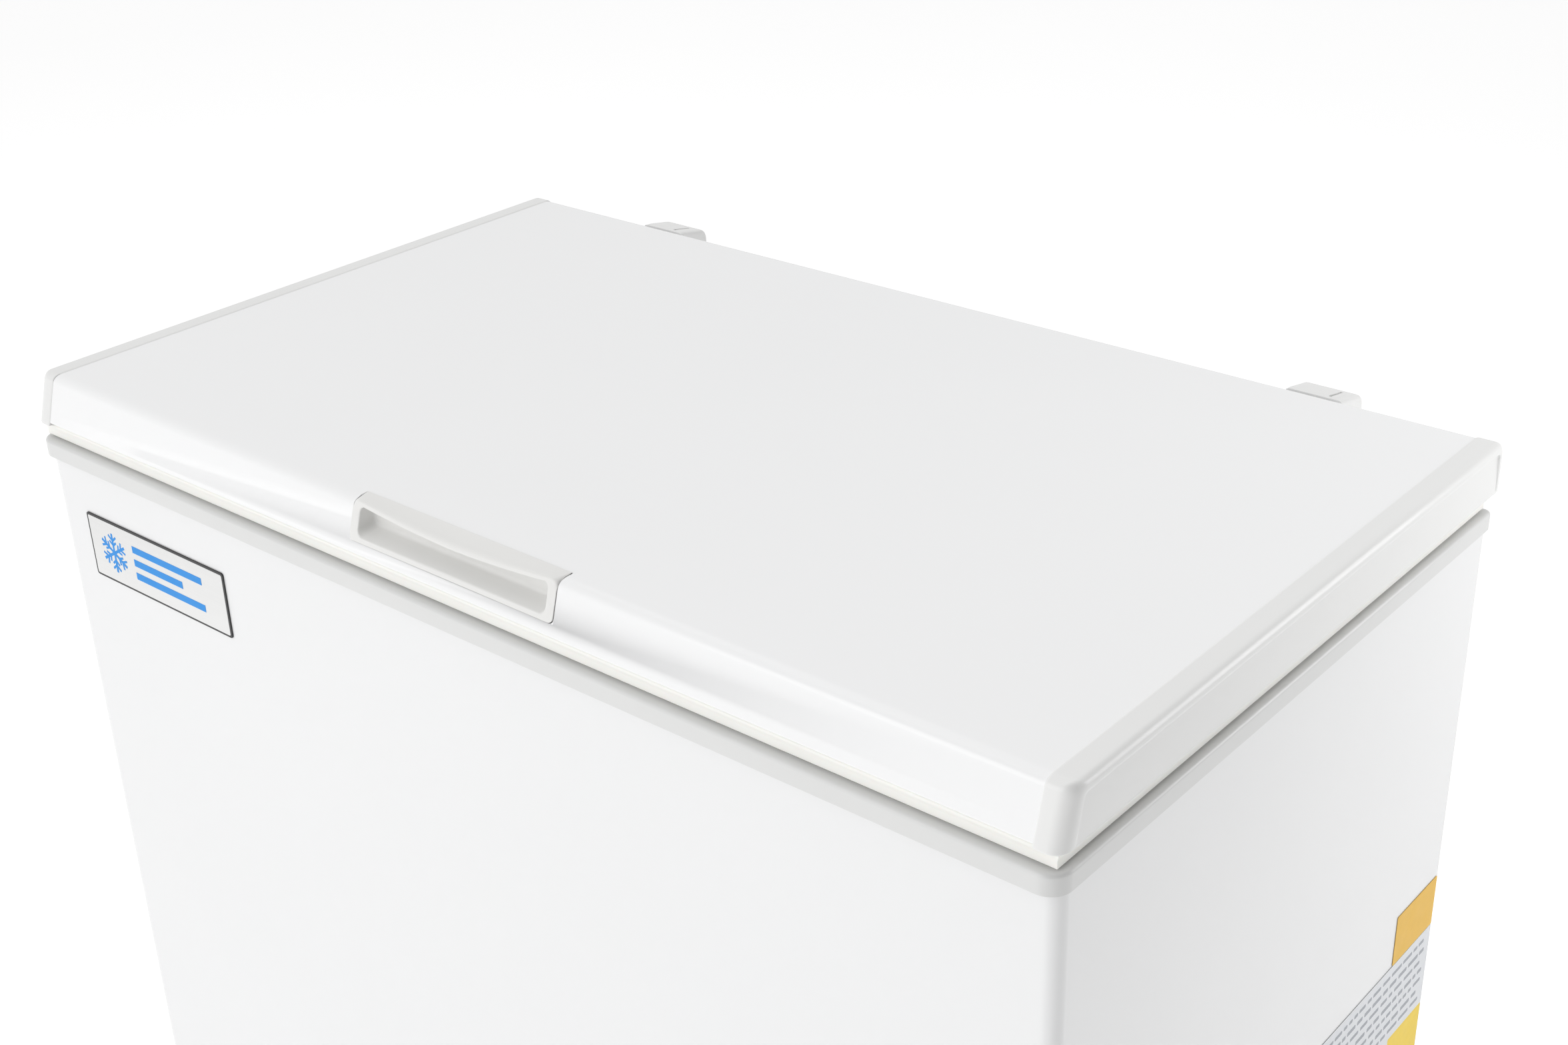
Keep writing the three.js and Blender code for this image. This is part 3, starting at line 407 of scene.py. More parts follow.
def matt_rubber(name, colour):
    nodes = Nodes(name, IOR=1.5)
    nodes.colours(nodes.noise(60.0, 5), colour, 0.75, 1.4)
    nodes.rough(nodes.noise(90.0, 3), 0.7, 0.88)
    nodes.bump(nodes.noise(1400.0, 2), 0.03, 0.6)
    return nodes.material


def printed_sheet(name, colour, roughness=0.5):
    """Coated paper or film with fibres and a slight ripple from being pressed on."""
    nodes = Nodes(name, IOR=1.45)
    nodes.colours(nodes.noise(160.0, 4), colour, 0.96, 1.02)
    nodes.rough(nodes.noise(70.0, 3), roughness - 0.06, roughness + 0.06)
    nodes.bump(nodes.noise(35.0, 2), 0.12, 0.25)
    return nodes.material


def rigid_foam(name, colour):
    nodes = Nodes(name, IOR=1.4)
    nodes.colours(nodes.noise(45.0, 6), colour, 0.82, 1.08)
    nodes.rough(nodes.noise(80.0, 3), 0.82, 0.95)
    nodes.bump(nodes.cells(650.0), 0.3, 0.8)
    return nodes.material


def clear_lens(name, colour):
    nodes = Nodes(name, IOR=1.49, Transmission_Weight=0.35, Coat_Weight=0.6)
    nodes.colours(nodes.cells(900.0), colour, 0.8, 1.15)
    nodes.rough(nodes.noise(200.0, 2), 0.08, 0.16)
    return nodes.material


LID_PAINT = painted_steel("lid_powder_paint", (0.86, 0.862, 0.865))
CABINET_PAINT = painted_steel("cabinet_powder_paint", (0.77, 0.772, 0.775))
COLLAR_PLASTIC = moulded_plastic("collar_plastic", (0.66, 0.662, 0.656), 0.34, gloss=0.1)
CAP_PLASTIC = moulded_plastic("cap_plastic", (0.775, 0.775, 0.768), 0.36, gloss=0.15)
PULL_PLASTIC = moulded_plastic("pull_plastic", (0.76, 0.757, 0.742), 0.4)
INNER_PLASTIC = moulded_plastic("inner_panel_plastic", (0.84, 0.845, 0.85), 0.4, 0.02)
WARM_PLASTIC = moulded_plastic("panel_plastic", (0.72, 0.715, 0.695), 0.45)
DARK_PLASTIC = moulded_plastic("dark_plastic", (0.03, 0.031, 0.033), 0.5)
SEAL_VINYL = soft_vinyl("seal_vinyl", (0.86, 0.855, 0.82))
LINER_SHEET = stucco_metal("stucco_liner", (0.82, 0.835, 0.85))
ZINC_SHEET = rolled_metal("galvanised_sheet", (0.56, 0.575, 0.585), 0.42, spangle=70.0)
ZINC_PLATE = rolled_metal("zinc_plate", (0.62, 0.625, 0.63), 0.32, (1, 0.1, 1))
SPRING_WIRE = rolled_metal("spring_wire", (0.2, 0.2, 0.21), 0.35, (0.1, 1, 1))
COPPER = rolled_metal("copper_pipe", (0.72, 0.36, 0.2), 0.3, (1, 1, 0.1))
BRUSHED_SILVER = rolled_metal("brushed_silver", (0.74, 0.74, 0.735), 0.42, (0.02, 1, 1))
BLACK_EDGE = moulded_plastic("badge_edge", (0.012, 0.012, 0.013), 0.35, 0.006)
SKY_INK = printed_sheet("sky_blue_ink", (0.012, 0.255, 0.7), 0.5)
BLACK_RUBBER = matt_rubber("black_rubber", (0.018, 0.018, 0.018))
LABEL_PAPER = printed_sheet("label_paper", (0.72, 0.735, 0.76))
LABEL_INK = printed_sheet("label_ink", (0.36, 0.375, 0.41))
ORANGE_PAPER = printed_sheet("orange_paper", (0.78, 0.47, 0.06))
YELLOW_PAPER = printed_sheet("yellow_paper", (0.86, 0.62, 0.05))
FOAM = rigid_foam("rigid_foam", (0.78, 0.66, 0.36))
GREEN_LENS = clear_lens("green_lens", (0.05, 0.5, 0.14))
AMBER_LENS = clear_lens("amber_lens", (0.8, 0.36, 0.03))
BLACK_ENAMEL = painted_steel("black_enamel", (0.015, 0.015, 0.016), 0.36)
WIRE_COATING = moulded_plastic("wire_coating", (0.84, 0.845, 0.84), 0.3, 0.01)


# ---- lid ----

# How far each rounded corner of the lid's side view reaches along the edge before and after it.
LID_RADII = ((1.2, 1.2), (5.5, 8.0), (8.0, 8.0), (1.2, 1.2))


def on_lid(ring):
    return [tuple(Vector(point) + LID_ORIGIN) for point in ring]


def front_line(z, inset=0.0):
    """How far back the lid's sloping front stands at a height."""
    return LID_SLOPE * (1 + z / LID_EDGE) + inset


def side_view(insets, radii, steps=10):
    """The lid seen from its side, as (y, z, share) points from the front bottom corner over the top.

    insets are for the front, top, back and bottom edges. share says which edges a point lies between:
    0 to 1 from bottom to front, 1 to 2 from front to top, and so on.
    """
    front, top, back, bottom = insets
    low, rear = bottom - LID_EDGE, LID_DEPTH - back
    corners = [(front_line(low, front), low), (front_line(-top, front), -top), (rear, -top), (rear, low)]
    points = []
    for index, (corner, (reach_before, reach_after)) in enumerate(zip(corners, radii)):
        before = (Vector(corners[index - 1]) - Vector(corner)).normalized() * reach_before
        after = (Vector(corners[(index + 1) % 4]) - Vector(corner)).normalized() * reach_after
        for step in range(steps + 1):
            t = step / steps
            y, z = Vector(corner) + before * (1 - t) ** 2 + after * t ** 2
            points.append((y, z, index + t))
    return points


def smooth(t):
    return t * t * (3 - 2 * t)


# The end caps: the rounding along each edge; the softened lip over the sheet, as (x from the cap's inner
# end, inset, inset at the bottom); then the rim's width and the share of it left at the bottom, how deep
# the panel in it lies, over what width it falls, and how far in the flat part starts.
CAP_ROUND = {"front": 10.5, "top": 5.5, "back": 3.0, "bottom": 1.2}
CAP_LIP = ((0.0, 0.65, 0.35), (0.6, 0.2, 0.1), (1.6, 0.0, 0.0))
CAP_RIM = 1.7
CAP_LOW_RIM = 0.3
CAP_RECESS = 2.4
CAP_FALL = 1.8
CAP_FLAT = 3.4


def cap_ring(angle, extra, drop):
    """A ring of the end cap: how far it has turned round the edge, then how far in from there.

    drop is how deep the panel lies at the top; it comes out to the rim at the bottom.
    """
    edges = [CAP_ROUND[k] for k in ("front", "front", "top", "back", "back")]
    insets = [edges[k] * (1 - math.cos(angle)) + extra for k in (1, 2, 3)]
    insets.append(CAP_ROUND["bottom"] * (1 - math.cos(angle)) + extra * CAP_LOW_RIM)
    # From half the front rounding inwards, the corners of the side view grow tighter.
    tighter = max(insets[0] - CAP_ROUND["front"] * 0.5, 0) * 0.45
    tightest = 0.8
    radii = [tuple(max(reach - tighter, tightest) for reach in pair) for pair in LID_RADII]
    ring = []
    for y, z, share in side_view(insets, radii):
        index = min(int(share), 3)
        t = smooth(share - index)
        edge = edges[index] * (1 - t) + edges[index + 1] * t
        depth = drop * (z + LID_EDGE) / LID_EDGE
        ring.append((LID_HALF - edge * (1 - math.sin(angle)) - depth, y, z))
    return ring


def end_cap(side):
    """A moulded cap with a rounded rim round a slightly sunk panel."""
    rings = []
    for reach, inset, low_inset in CAP_LIP:
        outline = side_view((inset, inset, inset, low_inset), LID_RADII)
        rings.append([(CAP_LOW.x + reach, y, z) for y, z, _ in outline])
    turns, falls = 10, 5
    quarter = math.pi / 2
    rings += [cap_ring(quarter * i / turns, 0, 0) for i in range(turns + 1)]
    rings += [cap_ring(quarter, CAP_RIM * share, 0) for share in (0.5, 1.0)]
    for i in range(1, falls + 1):
        t = i / falls
        rings.append(cap_ring(quarter, CAP_RIM + CAP_FALL * t, CAP_RECESS * smooth(t)))
    rings.append(cap_ring(quarter, CAP_RIM + CAP_FLAT, CAP_RECESS))
    part = loft([on_lid(ring) for ring in rings])
    if side == "left":
        part = mirrored(part)
    piece("end_cap_" + side, part, CAP_PLASTIC, "lid", "white_plastic", "lid_end_cap_" + side, sharp=50)


# The finger pull's outline on the lid, and the notch for it in the lid sheet: there is a gap at the
# right, below and behind, and none at the left.
PULL_HALF = PULL_HIGH.x
PULL_BACK = 24.0
PULL_BOTTOM = PULL_LOW.z - LID_ORIGIN.z
PULL_CORNER = 4.0
NOTCH_LEFT, NOTCH_RIGHT = -PULL_HALF + 0.1, PULL_HALF + 0.6
NOTCH_BOTTOM = PULL_BOTTOM - 0.25
NOTCH_BACK = PULL_BACK + 0.25


def skin_profile(steps=12):
    """The lid sheet's side view from its front hem over the top to its rear hem, as (y, z) points."""
    low = SKIN_LOW.z - LID_ORIGIN.z - HEM_DROP
    insets = (SKIN_DROP, SKIN_DROP, SKIN_DROP, LID_EDGE + low)
    path = [(y, z) for y, z, _ in side_view(insets, LID_RADII, steps)]
    front_corner, rear_corner = path[:steps + 1], path[-steps - 1:]
    hem = 13
    start = (front_corner[0][0] + hem, low)
    end = (rear_corner[-1][0] - hem, low)
    below = (front_line(NOTCH_BOTTOM, SKIN_DROP), NOTCH_BOTTOM)
    behind = (NOTCH_BACK, -SKIN_DROP)
    bend, top = path[steps + 1:2 * steps + 2], path[2 * steps + 2:-steps - 1]
    return [start, *front_corner, below, *bend, behind, *top, *rear_corner, end]


def lid_sheet():
    """One bent sheet that laps under the caps, with a notch whose lower corners are rounded."""
    profile = skin_profile()
    first = profile.index((front_line(NOTCH_BOTTOM, SKIN_DROP), NOTCH_BOTTOM))
    last = profile.index((NOTCH_BACK, -SKIN_DROP))
    cap_lap = 0.6
    end_x = CAP_LOW.x + cap_lap
    stations = [-end_x, NOTCH_LEFT, NOTCH_RIGHT, end_x]
    points = [(x, y, z) for x in stations for y, z in profile]
    count = len(profile)
    faces = []
    middle_column = 1
    for column in range(len(stations) - 1):
        for i in range(count - 1):
            if column == middle_column and first <= i < last:
                continue
            here = column * count + i
            faces.append((here, here + count, here + count + 1, here + 1))
    steps = 8
    for side, edge_x in ((-1, NOTCH_LEFT), (1, NOTCH_RIGHT)):
        hub = len(points)
        points.append((edge_x, front_line(NOTCH_BOTTOM, SKIN_DROP), NOTCH_BOTTOM))
        for step in range(steps + 1):
            angle = math.pi / 2 * step / steps
            x = edge_x - side * PULL_CORNER * (1 - math.cos(angle))
            z = NOTCH_BOTTOM + PULL_CORNER * (1 - math.sin(angle))
            points.append((x, front_line(z, SKIN_DROP), z))
        for step in range(steps):
            fan = (hub, hub + 1 + step, hub + 2 + step)
            faces.append(fan if side < 0 else fan[::-1])
    obj = solid("lid_sheet", (on_lid(points), faces))
    thickness = obj.modifiers.new("thickness", "SOLIDIFY")
    thickness.thickness = SHEET * MM
    thickness.offset = -1
    thickness.use_even_offset = True
    shade(obj)
    place(obj, LID_PAINT, "lid", "painted_steel", "lid_skin")


# The finger pull: a flat rim on the slope of the lid's front, with a pocket in it. The top of the rim
# dips in the middle. A scoop falls to it from the lid's top, and sets in between two distances back.
# "round" is the rim's rounding at its sides and "top_round" what the top edge adds; "rise" is how far the
# floor climbs to the back wall, and "straight" is half the length of that wall's middle line.
RIM = {
    "lift": 0.2, "top": -0.5, "top_dip": 4.4, "mouth": -4.0, "mouth_dip": 4.6, "half": 88.0,
    "round": 0.7, "top_round": 1.7, "lip_round": 1.1,
}
POCKET = {
    "half": 89.5, "low": -24.3, "back": 20.5, "rise": 3.7, "draft": 1.5, "fillet": 3.0, "straight": 82,
}
SCOOP_FROM, SCOOP_TO = 10, 23
SCOOP_SAG = 0.8
SCOOP_INWARDS = Vector((0, 0.2, -0.98))


def lip_dip(x):
    """How far the lip dips at x, from nothing at its ends to 1 in the middle."""
    return 1 - (min(abs(x), RIM["half"]) / RIM["half"]) ** 1.7


def front_ring(half, low, top, radii):
    """(x, z) places round a shape on the lid's front with rounded corners; top is a function of x."""
    ring = []
    lower, upper = radii
    bottom_count, side_count, top_count, corner_count = 16, 10, 56, 8

    def corner(x, z, radius, start):
        for step in range(corner_count):
            angle = math.radians(start + 90 * (step + 0.5) / corner_count)
            ring.append((x + radius * math.cos(angle), z + radius * math.sin(angle)))

    high = top(half)
    for step in range(bottom_count + 1):
        ring.append(((half - lower) * (2 * step / bottom_count - 1), low))
    corner(half - lower, low + lower, lower, -90)
    for step in range(side_count + 1):
        ring.append((half, low + lower + (high - upper - low - lower) * step / side_count))
    corner(half - upper, high - upper, upper, 0)
    for step in range(top_count + 1):
        x = (half - upper) * (1 - 2 * step / top_count)
        ring.append((x, top(x)))
    corner(upper - half, high - upper, upper, 90)
    for step in range(side_count + 1):
        ring.append((-half, high - upper - (high - upper - low - lower) * step / side_count))
    corner(lower - half, low + lower, lower, 180)
    return ring


def bend_at(before, corner, after, radius, steps):
    """Points that round a corner of a path by a radius, or less where the next stretch is short."""
    most = 0.45
    start = corner + (before - corner).normalized() * radius
    end = corner + (after - corner).normalized() * min(radius, (after - corner).length * most)
    stops = [step / steps for step in range(steps + 1)]
    return [start * (1 - t) ** 2 + corner * 2 * t * (1 - t) + end * t ** 2 for t in stops]


def pull_root(x, z):
    """Where the pull goes under the skin: at its back edge on top, and just inside the front elsewhere."""
    near_top, inside, steps = 0.3, 2.5, 16
    if z > -RIM["lift"] - near_top:
        return Vector((x, PULL_BACK, -RIM["lift"]))
    top_front_bend = side_view((0, 0, 0, 0), LID_RADII, steps)[steps + 1:2 * steps + 2]
    outline = [(y, height) for y, height, _ in top_front_bend]
    y = front_line(z)
    for (y0, z0), (y1, z1) in zip(outline, outline[1:]):
        if z0 <= z <= z1:
            y = y0 + (y1 - y0) * (z - z0) / max(z1 - z0, 1e-6)
    return Vector((x, min(y + inside, PULL_BACK), z))


def rim_top(x):
    """The height of the rim's upper edge at x."""
    return RIM["top"] - RIM["top_dip"] * lip_dip(x)


def mouth_top(x):
    """The height of the pocket's upper edge at x."""
    return RIM["mouth"] - RIM["mouth_dip"] * lip_dip(x)


def finger_pull():
    """A shell: the scoop and sides, the rim, and the pocket with its walls."""
    upper = front_ring(PULL_HALF, PULL_BOTTOM, lambda x: -RIM["lift"], (PULL_CORNER, 0.3))
    outer = front_ring(PULL_HALF, PULL_BOTTOM, rim_top, (PULL_CORNER, 5.0))
    mouth = front_ring(POCKET["half"], POCKET["low"], mouth_top, (5.0, 4.5))
    back_low = POCKET["low"] + POCKET["rise"]
    scoop_steps, bend_steps = 8, 6
    columns = []
    for (root_x, root_z), (edge_x, edge_z), (x, z) in zip(upper, outer, mouth):
        root = pull_root(root_x, root_z)
        edge = Vector((edge_x, front_line(edge_z, RIM["lift"]), edge_z))
        lip = Vector((x, front_line(z, RIM["lift"]), z))
        height = (z - POCKET["low"]) / (mouth_top(x) - POCKET["low"])
        back_z = back_low + height * (mouth_top(x) - POCKET["low"] - POCKET["rise"])
        back = Vector((x * (1 - POCKET["draft"] / POCKET["half"]), POCKET["back"], back_z))
        middle_x = max(-POCKET["straight"], min(POCKET["straight"], back.x))
        middle = Vector((middle_x, back.y, (back_low + mouth_top(x)) / 2))
        onto_top = smooth(max(0.0, min(1.0, (root.y - SCOOP_FROM) / (SCOOP_TO - SCOOP_FROM))))
        outside = bend_at(root, edge, lip, RIM["round"] + RIM["top_round"] * onto_top, bend_steps)
        column = []
        for step in range(scoop_steps):
            t = step / scoop_steps
            sag = SCOOP_SAG * lip_dip(root_x) * onto_top * 4 * t * (1 - t)
            column.append(root.lerp(outside[0], t) + SCOOP_INWARDS * sag)
        column += outside
        inside = bend_at(edge, lip, back, RIM["lip_round"], bend_steps)
        column.append(outside[-1].lerp(inside[0], 0.5))
        column += inside
        fillet = bend_at(lip, back, middle, POCKET["fillet"], bend_steps)
        column += [inside[-1].lerp(fillet[0], t) for t in (0.25, 0.5, 0.75)]
        column += fillet
        columns.append(column)
    shell = loft([on_lid(ring) for ring in zip(*columns)], caps=(False, True))
    piece("finger_pull", shell, PULL_PLASTIC, "lid", "warm_plastic", "lid_handle", sharp=60)


def swept_square(stations, x_half, y_span):
    """A section carried round a rectangle with mitred corners; stations are (inset, z)."""
    rings = []
    for inset, z in stations:
        x = x_half - inset
        rings.append([(-x, y_span[0] + inset, z), (x, y_span[0] + inset, z),
                      (x, y_span[1] - inset, z), (-x, y_span[1] - inset, z)])
    return loft(rings, closed=True)


def magnetic_seal():
    """A bead at the top, a body drawn in a little, and the narrower strip that rests on the collar."""
    top, low = SEAL_HIGH.z, SEAL_LOW.z
    width = 20
    outer = [
        (0.5, top), (0.0, top - 0.6), (0.0, top - 1.8), (0.4, top - 3.0), (1.0, top - 4.2), (1.4, top - 5.6),
        (1.4, low + 3.4), (1.2, low + 1.8), (1.5, low + 1.4), (3.2, low + 1.3), (3.4, low),
    ]
    stations = outer + [(width - inset, z) for inset, z in reversed(outer)]
    seal = swept_square(stations, SEAL_HIGH.x, (SEAL_LOW.y, SEAL_HIGH.y))
    piece("magnetic_seal", seal, SEAL_VINYL, "lid", "cream_vinyl", "lid_gasket", sharp=50)


def inner_panel():
    """The moulded panel inside the lid: a flat border, a rounded plug and a shallow sunk middle."""
    low, high = span("lid_liner")
    plug = {"half": 396.0, "front": LID_ORIGIN.y + 81.5, "back": LID_ORIGIN.y + 457.5}
    border_top, border, border_inset = high.z - 2.3, high.z - 3.9, 3.2
    root, edge = 3.0, 9.0
    frame_width, slope, sink = 26, 4, 1.6
    rings = [ring_inside(low, high, border_inset, z, [2] * 4) for z in (border_top, border)]

    def plug_ring(inset, z, corner=8):
        x = plug["half"] - inset
        rings.append(level_ring((-x, x), (plug["front"] + inset, plug["back"] - inset), z, [corner] * 4))

    for turn in range(5):
        angle = math.pi / 2 * turn / 4
        plug_ring(-root + root * math.sin(angle), border - root * (1 - math.cos(angle)))
    for turn in range(6):
        angle = math.pi / 2 * turn / 5
        plug_ring(edge * (1 - math.cos(angle)), low.z + edge * (1 - math.sin(angle)))
    plug_ring(frame_width, low.z)
    for turn in range(1, 6):
        t = turn / 5
        plug_ring(frame_width + slope * t, low.z + sink * smooth(t))
    plug_ring(60, low.z + sink)
    piece("inner_lid_panel", loft(rings), INNER_PLASTIC, "lid", "white_plastic", "lid_liner")


# How the hood's top rounds off towards its sides, as (x in from the side, drop).
HOOD_LEFT = ((0, 4.5), (0.5, 2.6), (1.6, 1.0), (3.2, 0.25), (5.0, 0))
HOOD_RIGHT = ((4.2, 0), (2.4, 0.2), (1.1, 0.8), (0.3, 1.9), (0, 3.4))


def hinge_hood(side):
    """The moulded cover over a hinge, rounded on top, with a slot near its right side."""
    low, high = span("hinge_cover_" + side)
    front, rear = low.y, high.y
    stations = [(low.x + x_in, drop) for x_in, drop in HOOD_LEFT]
    stations += [(high.x - x_in, drop) for x_in, drop in HOOD_RIGHT]
    bend, fall = 5, 4.9
    rings = []
    for x, drop in stations:
        top = high.z - drop
        outline = [(front, low.z + 12), (front, top), (front + 6, top - 0.4), (rear - bend, top - 4.6)]
        for turn in range(1, 6):
            angle = math.pi / 2 * turn / 5
            y = rear - bend + bend * math.sin(angle)
            outline.append((y, top - fall - bend * (1 - math.cos(angle))))
        outline += [(rear, low.z + 17), (rear - 10, low.z), (front + 8, low.z)]
        rings.append([(x, y, z) for y, z in outline])
    obj = solid("hinge_hood_" + side, loft(rings))
    hollow = slab((low.x + 2, high.x - 2), (front - 5, rear - 2), (low.z - 5, high.z - 12))
    slot = slab((high.x - 13, high.x - 10.8), (front + 4, rear - 9), (high.z - 4.5, high.z + 5))
    cut(obj, hollow, slot)
    shade(obj, 40)
    place(obj, CAP_PLASTIC, "lid", "white_plastic", "hinge_cover_" + side)


# ---- cabinet ----

def cabinet_shell():
    """The front and both sides in one bent sheet, open at the back between two narrow flanges.

    It has holes for the control panel, the side grille and the drain.
    """
    low, high = CABINET_LOW, CABINET_HIGH
    rings = []
    for inset, z in ((0, low.z), (0, high.z), (SHEET, high.z), (SHEET, low.z)):
        front, back = 10 - inset, 1.6 - inset * 0.9
        rings.append(ring_inside(low, high, inset, z, (front, front, back, back), 14))
    obj = solid("cabinet_shell", loft(rings, closed=True))
    flange, panel_lap, vent_lap, drain_radius = 14.5, 4.5, 10, 12.3
    through_front, through_back, through_side = [(at - 5, at + 5) for at in (low.y, high.y, high.x)]
    panel_low, panel_high = span("control_panel")
    panel_x = (panel_low.x + panel_lap, panel_high.x - panel_lap)
    panel_z = (panel_low.z + panel_lap, panel_high.z - panel_lap)
    vent_low, vent_high = span("side_grille")
    vent_y = (vent_low.y + vent_lap, vent_high.y - vent_lap)
    vent_z = (vent_low.z + vent_lap, vent_high.z - vent_lap)
    cap_low, cap_high = span("drain_cap")
    middle = (cap_low + cap_high) / 2
    cut(
        obj,
        slab((low.x + flange, high.x - flange), through_back, (low.z - 1, high.z + 1)),
        slab(panel_x, through_front, panel_z),
        slab(through_side, vent_y, vent_z),
        turned([(drain_radius, y) for y in through_front], (middle.x, 0, middle.z), "y"),
    )
    shade(obj)
    place(obj, CABINET_PAINT, "cabinet", "painted_steel", "cabinet_wrapper")


def collar_moulding():
    """The plastic rim over the cabinet's top edge, with the ledge inside that the basket runs on."""
    low, high = COLLAR_LOW, COLLAR_HIGH
    skirt, back_of_liner = 14, 21
    bottom, top = high.z - skirt, high.z
    ledge = low.z + 2.5
    over_cabinet = CABINET_HIGH.z + 0.3
    opening_half = LINER_HIGH.x - back_of_liner
    opening_y = (LINER_LOW.y + back_of_liner, LINER_HIGH.y - back_of_liner)
    rings = []

    def outside(inset, z):
        front, back = 14.5 - inset, max(5 - inset, 0.5)
        rings.append(ring_inside(low, high, inset, z, (front, front, back, back), 14))

    def inside(inset, z):
        x = opening_half - inset
        y_span = (opening_y[0] + inset, opening_y[1] - inset)
        rings.append(level_ring((-x, x), y_span, z, [25 - inset] * 4, 14))

    for inset, rise in ((0.6, 0), (0.15, 0.15), (0.0, 0.6)):
        outside(inset, bottom + rise)
    outer_edge, inner_edge, ledge_root = 2.6, 2.0, 1.2
    for turn in range(7):
        angle = math.pi / 2 * turn / 6
        outside(outer_edge * (1 - math.cos(angle)), top - outer_edge * (1 - math.sin(angle)))
    outside(4.0, top)
    inside(-3.0, top)
    for turn in range(5):
        angle = math.pi / 2 * turn / 4
        inside(0.6 + inner_edge * math.sin(angle), top - inner_edge * (1 - math.cos(angle)))
    for turn in range(4):
        angle = math.pi / 2 * turn / 3
        inside(2.6 + ledge_root * (1 - math.cos(angle)), ledge + ledge_root * (1 - math.sin(angle)))
    for inset, drop in ((11.0, 0), (11.45, 0.2), (11.6, 0.8)):
        inside(inset, ledge - drop)
    for inset, rise in ((11.6, 0.5), (11.0, 0), (0.4, 0)):
        inside(inset, low.z + rise)
    inside(0.4, over_cabinet)
    outside(2.2, over_cabinet)
    outside(2.2, bottom)
    collar = loft(rings, closed=True)
    piece("collar_moulding", collar, COLLAR_PLASTIC, "cabinet", "white_plastic", "top_collar")


def badge():
    """A brushed plate on a thin black backing, printed with a snow crystal and plain bars."""
    thinner, rise, wider = 0.45, 0.15, 0.3
    low, high = span("badge_backing")
    front = low.y + thinner
    surface = front - rise
    backing = plate((low.x, high.x), (low.z, high.z), (front, high.y), 2.4, 0.3)
    piece("badge_back", backing, BLACK_EDGE, "cabinet", "black_plastic", "badge_backing")
    low, high = span("badge_face")
    face_x, face_z = (low.x - wider, high.x + wider), (low.z - wider, high.z + wider)
    face = plate(face_x, face_z, (surface, front + 0.4), 1.4, 0.12)
    piece("badge_plate", face, BRUSHED_SILVER, "cabinet", "badge_silver", "badge_face")
    badge_print(surface)


def bar_between(start, end, width, depth):
    """A flat bar in the X Z plane between two (x, z) points, with depth as its (front, back)."""
    start, end = Vector(start), Vector(end)
    along = (end - start).normalized()
    across = Vector((-along.y, along.x)) * width / 2
    outline = [start - across, end - across, end + across, start + across]
    return loft([[(p.x, y, p.y) for p in outline] for y in depth])


def badge_print(surface):
    """The print lies on the plate in thin layers, so that crossing bars never share a face."""
    emblem_low, emblem_high = span("badge_emblem")
    centre = (emblem_low + emblem_high) / 2
    hub = Vector((centre.x, centre.z))
    print_height, layer_height, sunk = 0.03, 0.003, 0.1
    arm_length, arm_width, twig_width, bar_width = 17, 2.4, 1.9, 6.0
    parts = []

    def add_bar(start, end, width):
        layer = surface - print_height - layer_height * len(parts)
        parts.append(bar_between(start, end, width, (layer, surface + sunk)))

    for i in range(6):
        angle = math.radians(30 + 60 * i)
        arm = Vector((math.cos(angle), math.sin(angle)))
        add_bar(hub, hub + arm * arm_length, arm_width)
        for share, length in ((0.38, 5.5), (0.62, 6.5)):
            for lean in (-50, 50):
                twig = Matrix.Rotation(math.radians(lean), 2) @ arm
                root = hub + arm * arm_length * share
                add_bar(root, root + twig * length, twig_width)
    left = emblem_high.x + 11
    for z, length in ((11.5, 88), (0, 62), (-11.5, 88)):
        add_bar((left, centre.z + z), (left + length, centre.z + z), bar_width)
    piece("badge_print", joined(parts), SKY_INK, "cabinet", "badge_blue", "badge_emblem")


def side_sheet(x_span, y_span, z_span):
    """A thin sheet on the right side of the cabinet."""
    outline = rounded_rectangle(y_span, z_span, [1.0] * 4, 3)
    return loft([[(x, y, z) for y, z in outline] for x in x_span])


def side_labels():
    """A plain label with grey rows that stand for print, a yellow block, and an orange sticker."""
    low, high = span("side_label")
    paper_thinner, margin, pitch = 0.13, 8, 9.5
    surface = high.x - paper_thinner
    sheet = side_sheet((low.x, surface), (low.y, high.y), (low.z, high.z))
    piece("side_label_sheet", sheet, LABEL_PAPER, "cabinet", "label_paper", "side_label")
    draw = random.Random(7)
    raised = (surface - 0.05, surface + 0.03)
    rows = []
    end = high.y - margin
    shortest, half_height = 3, 1.6
    for row in range(7):
        z = high.z - 9 - pitch * row
        y = low.y + margin
        while y < end:
            stop = min(y + draw.uniform(5, 17), end)
            if stop - y > shortest:
                row_z = (z - half_height - (row % 2) * 0.4, z + half_height)
                rows.append(side_sheet(raised, (y, stop), row_z))
            y = stop + draw.uniform(2.0, 3.6)
    piece("side_label_rows", joined(rows), LABEL_INK, "cabinet", "label_paper")
    block = side_sheet(raised, (high.y - 57, high.y - 0.5), (low.z + 12, low.z + 84))
    piece("side_label_block", block, YELLOW_PAPER, "cabinet", "label_orange")
    low, high = span("feature_sticker")
    sticker = side_sheet((low.x, surface), (low.y, high.y), (low.z, high.z))
    piece("orange_sticker", sticker, ORANGE_PAPER, "cabinet", "label_orange", "feature_sticker")


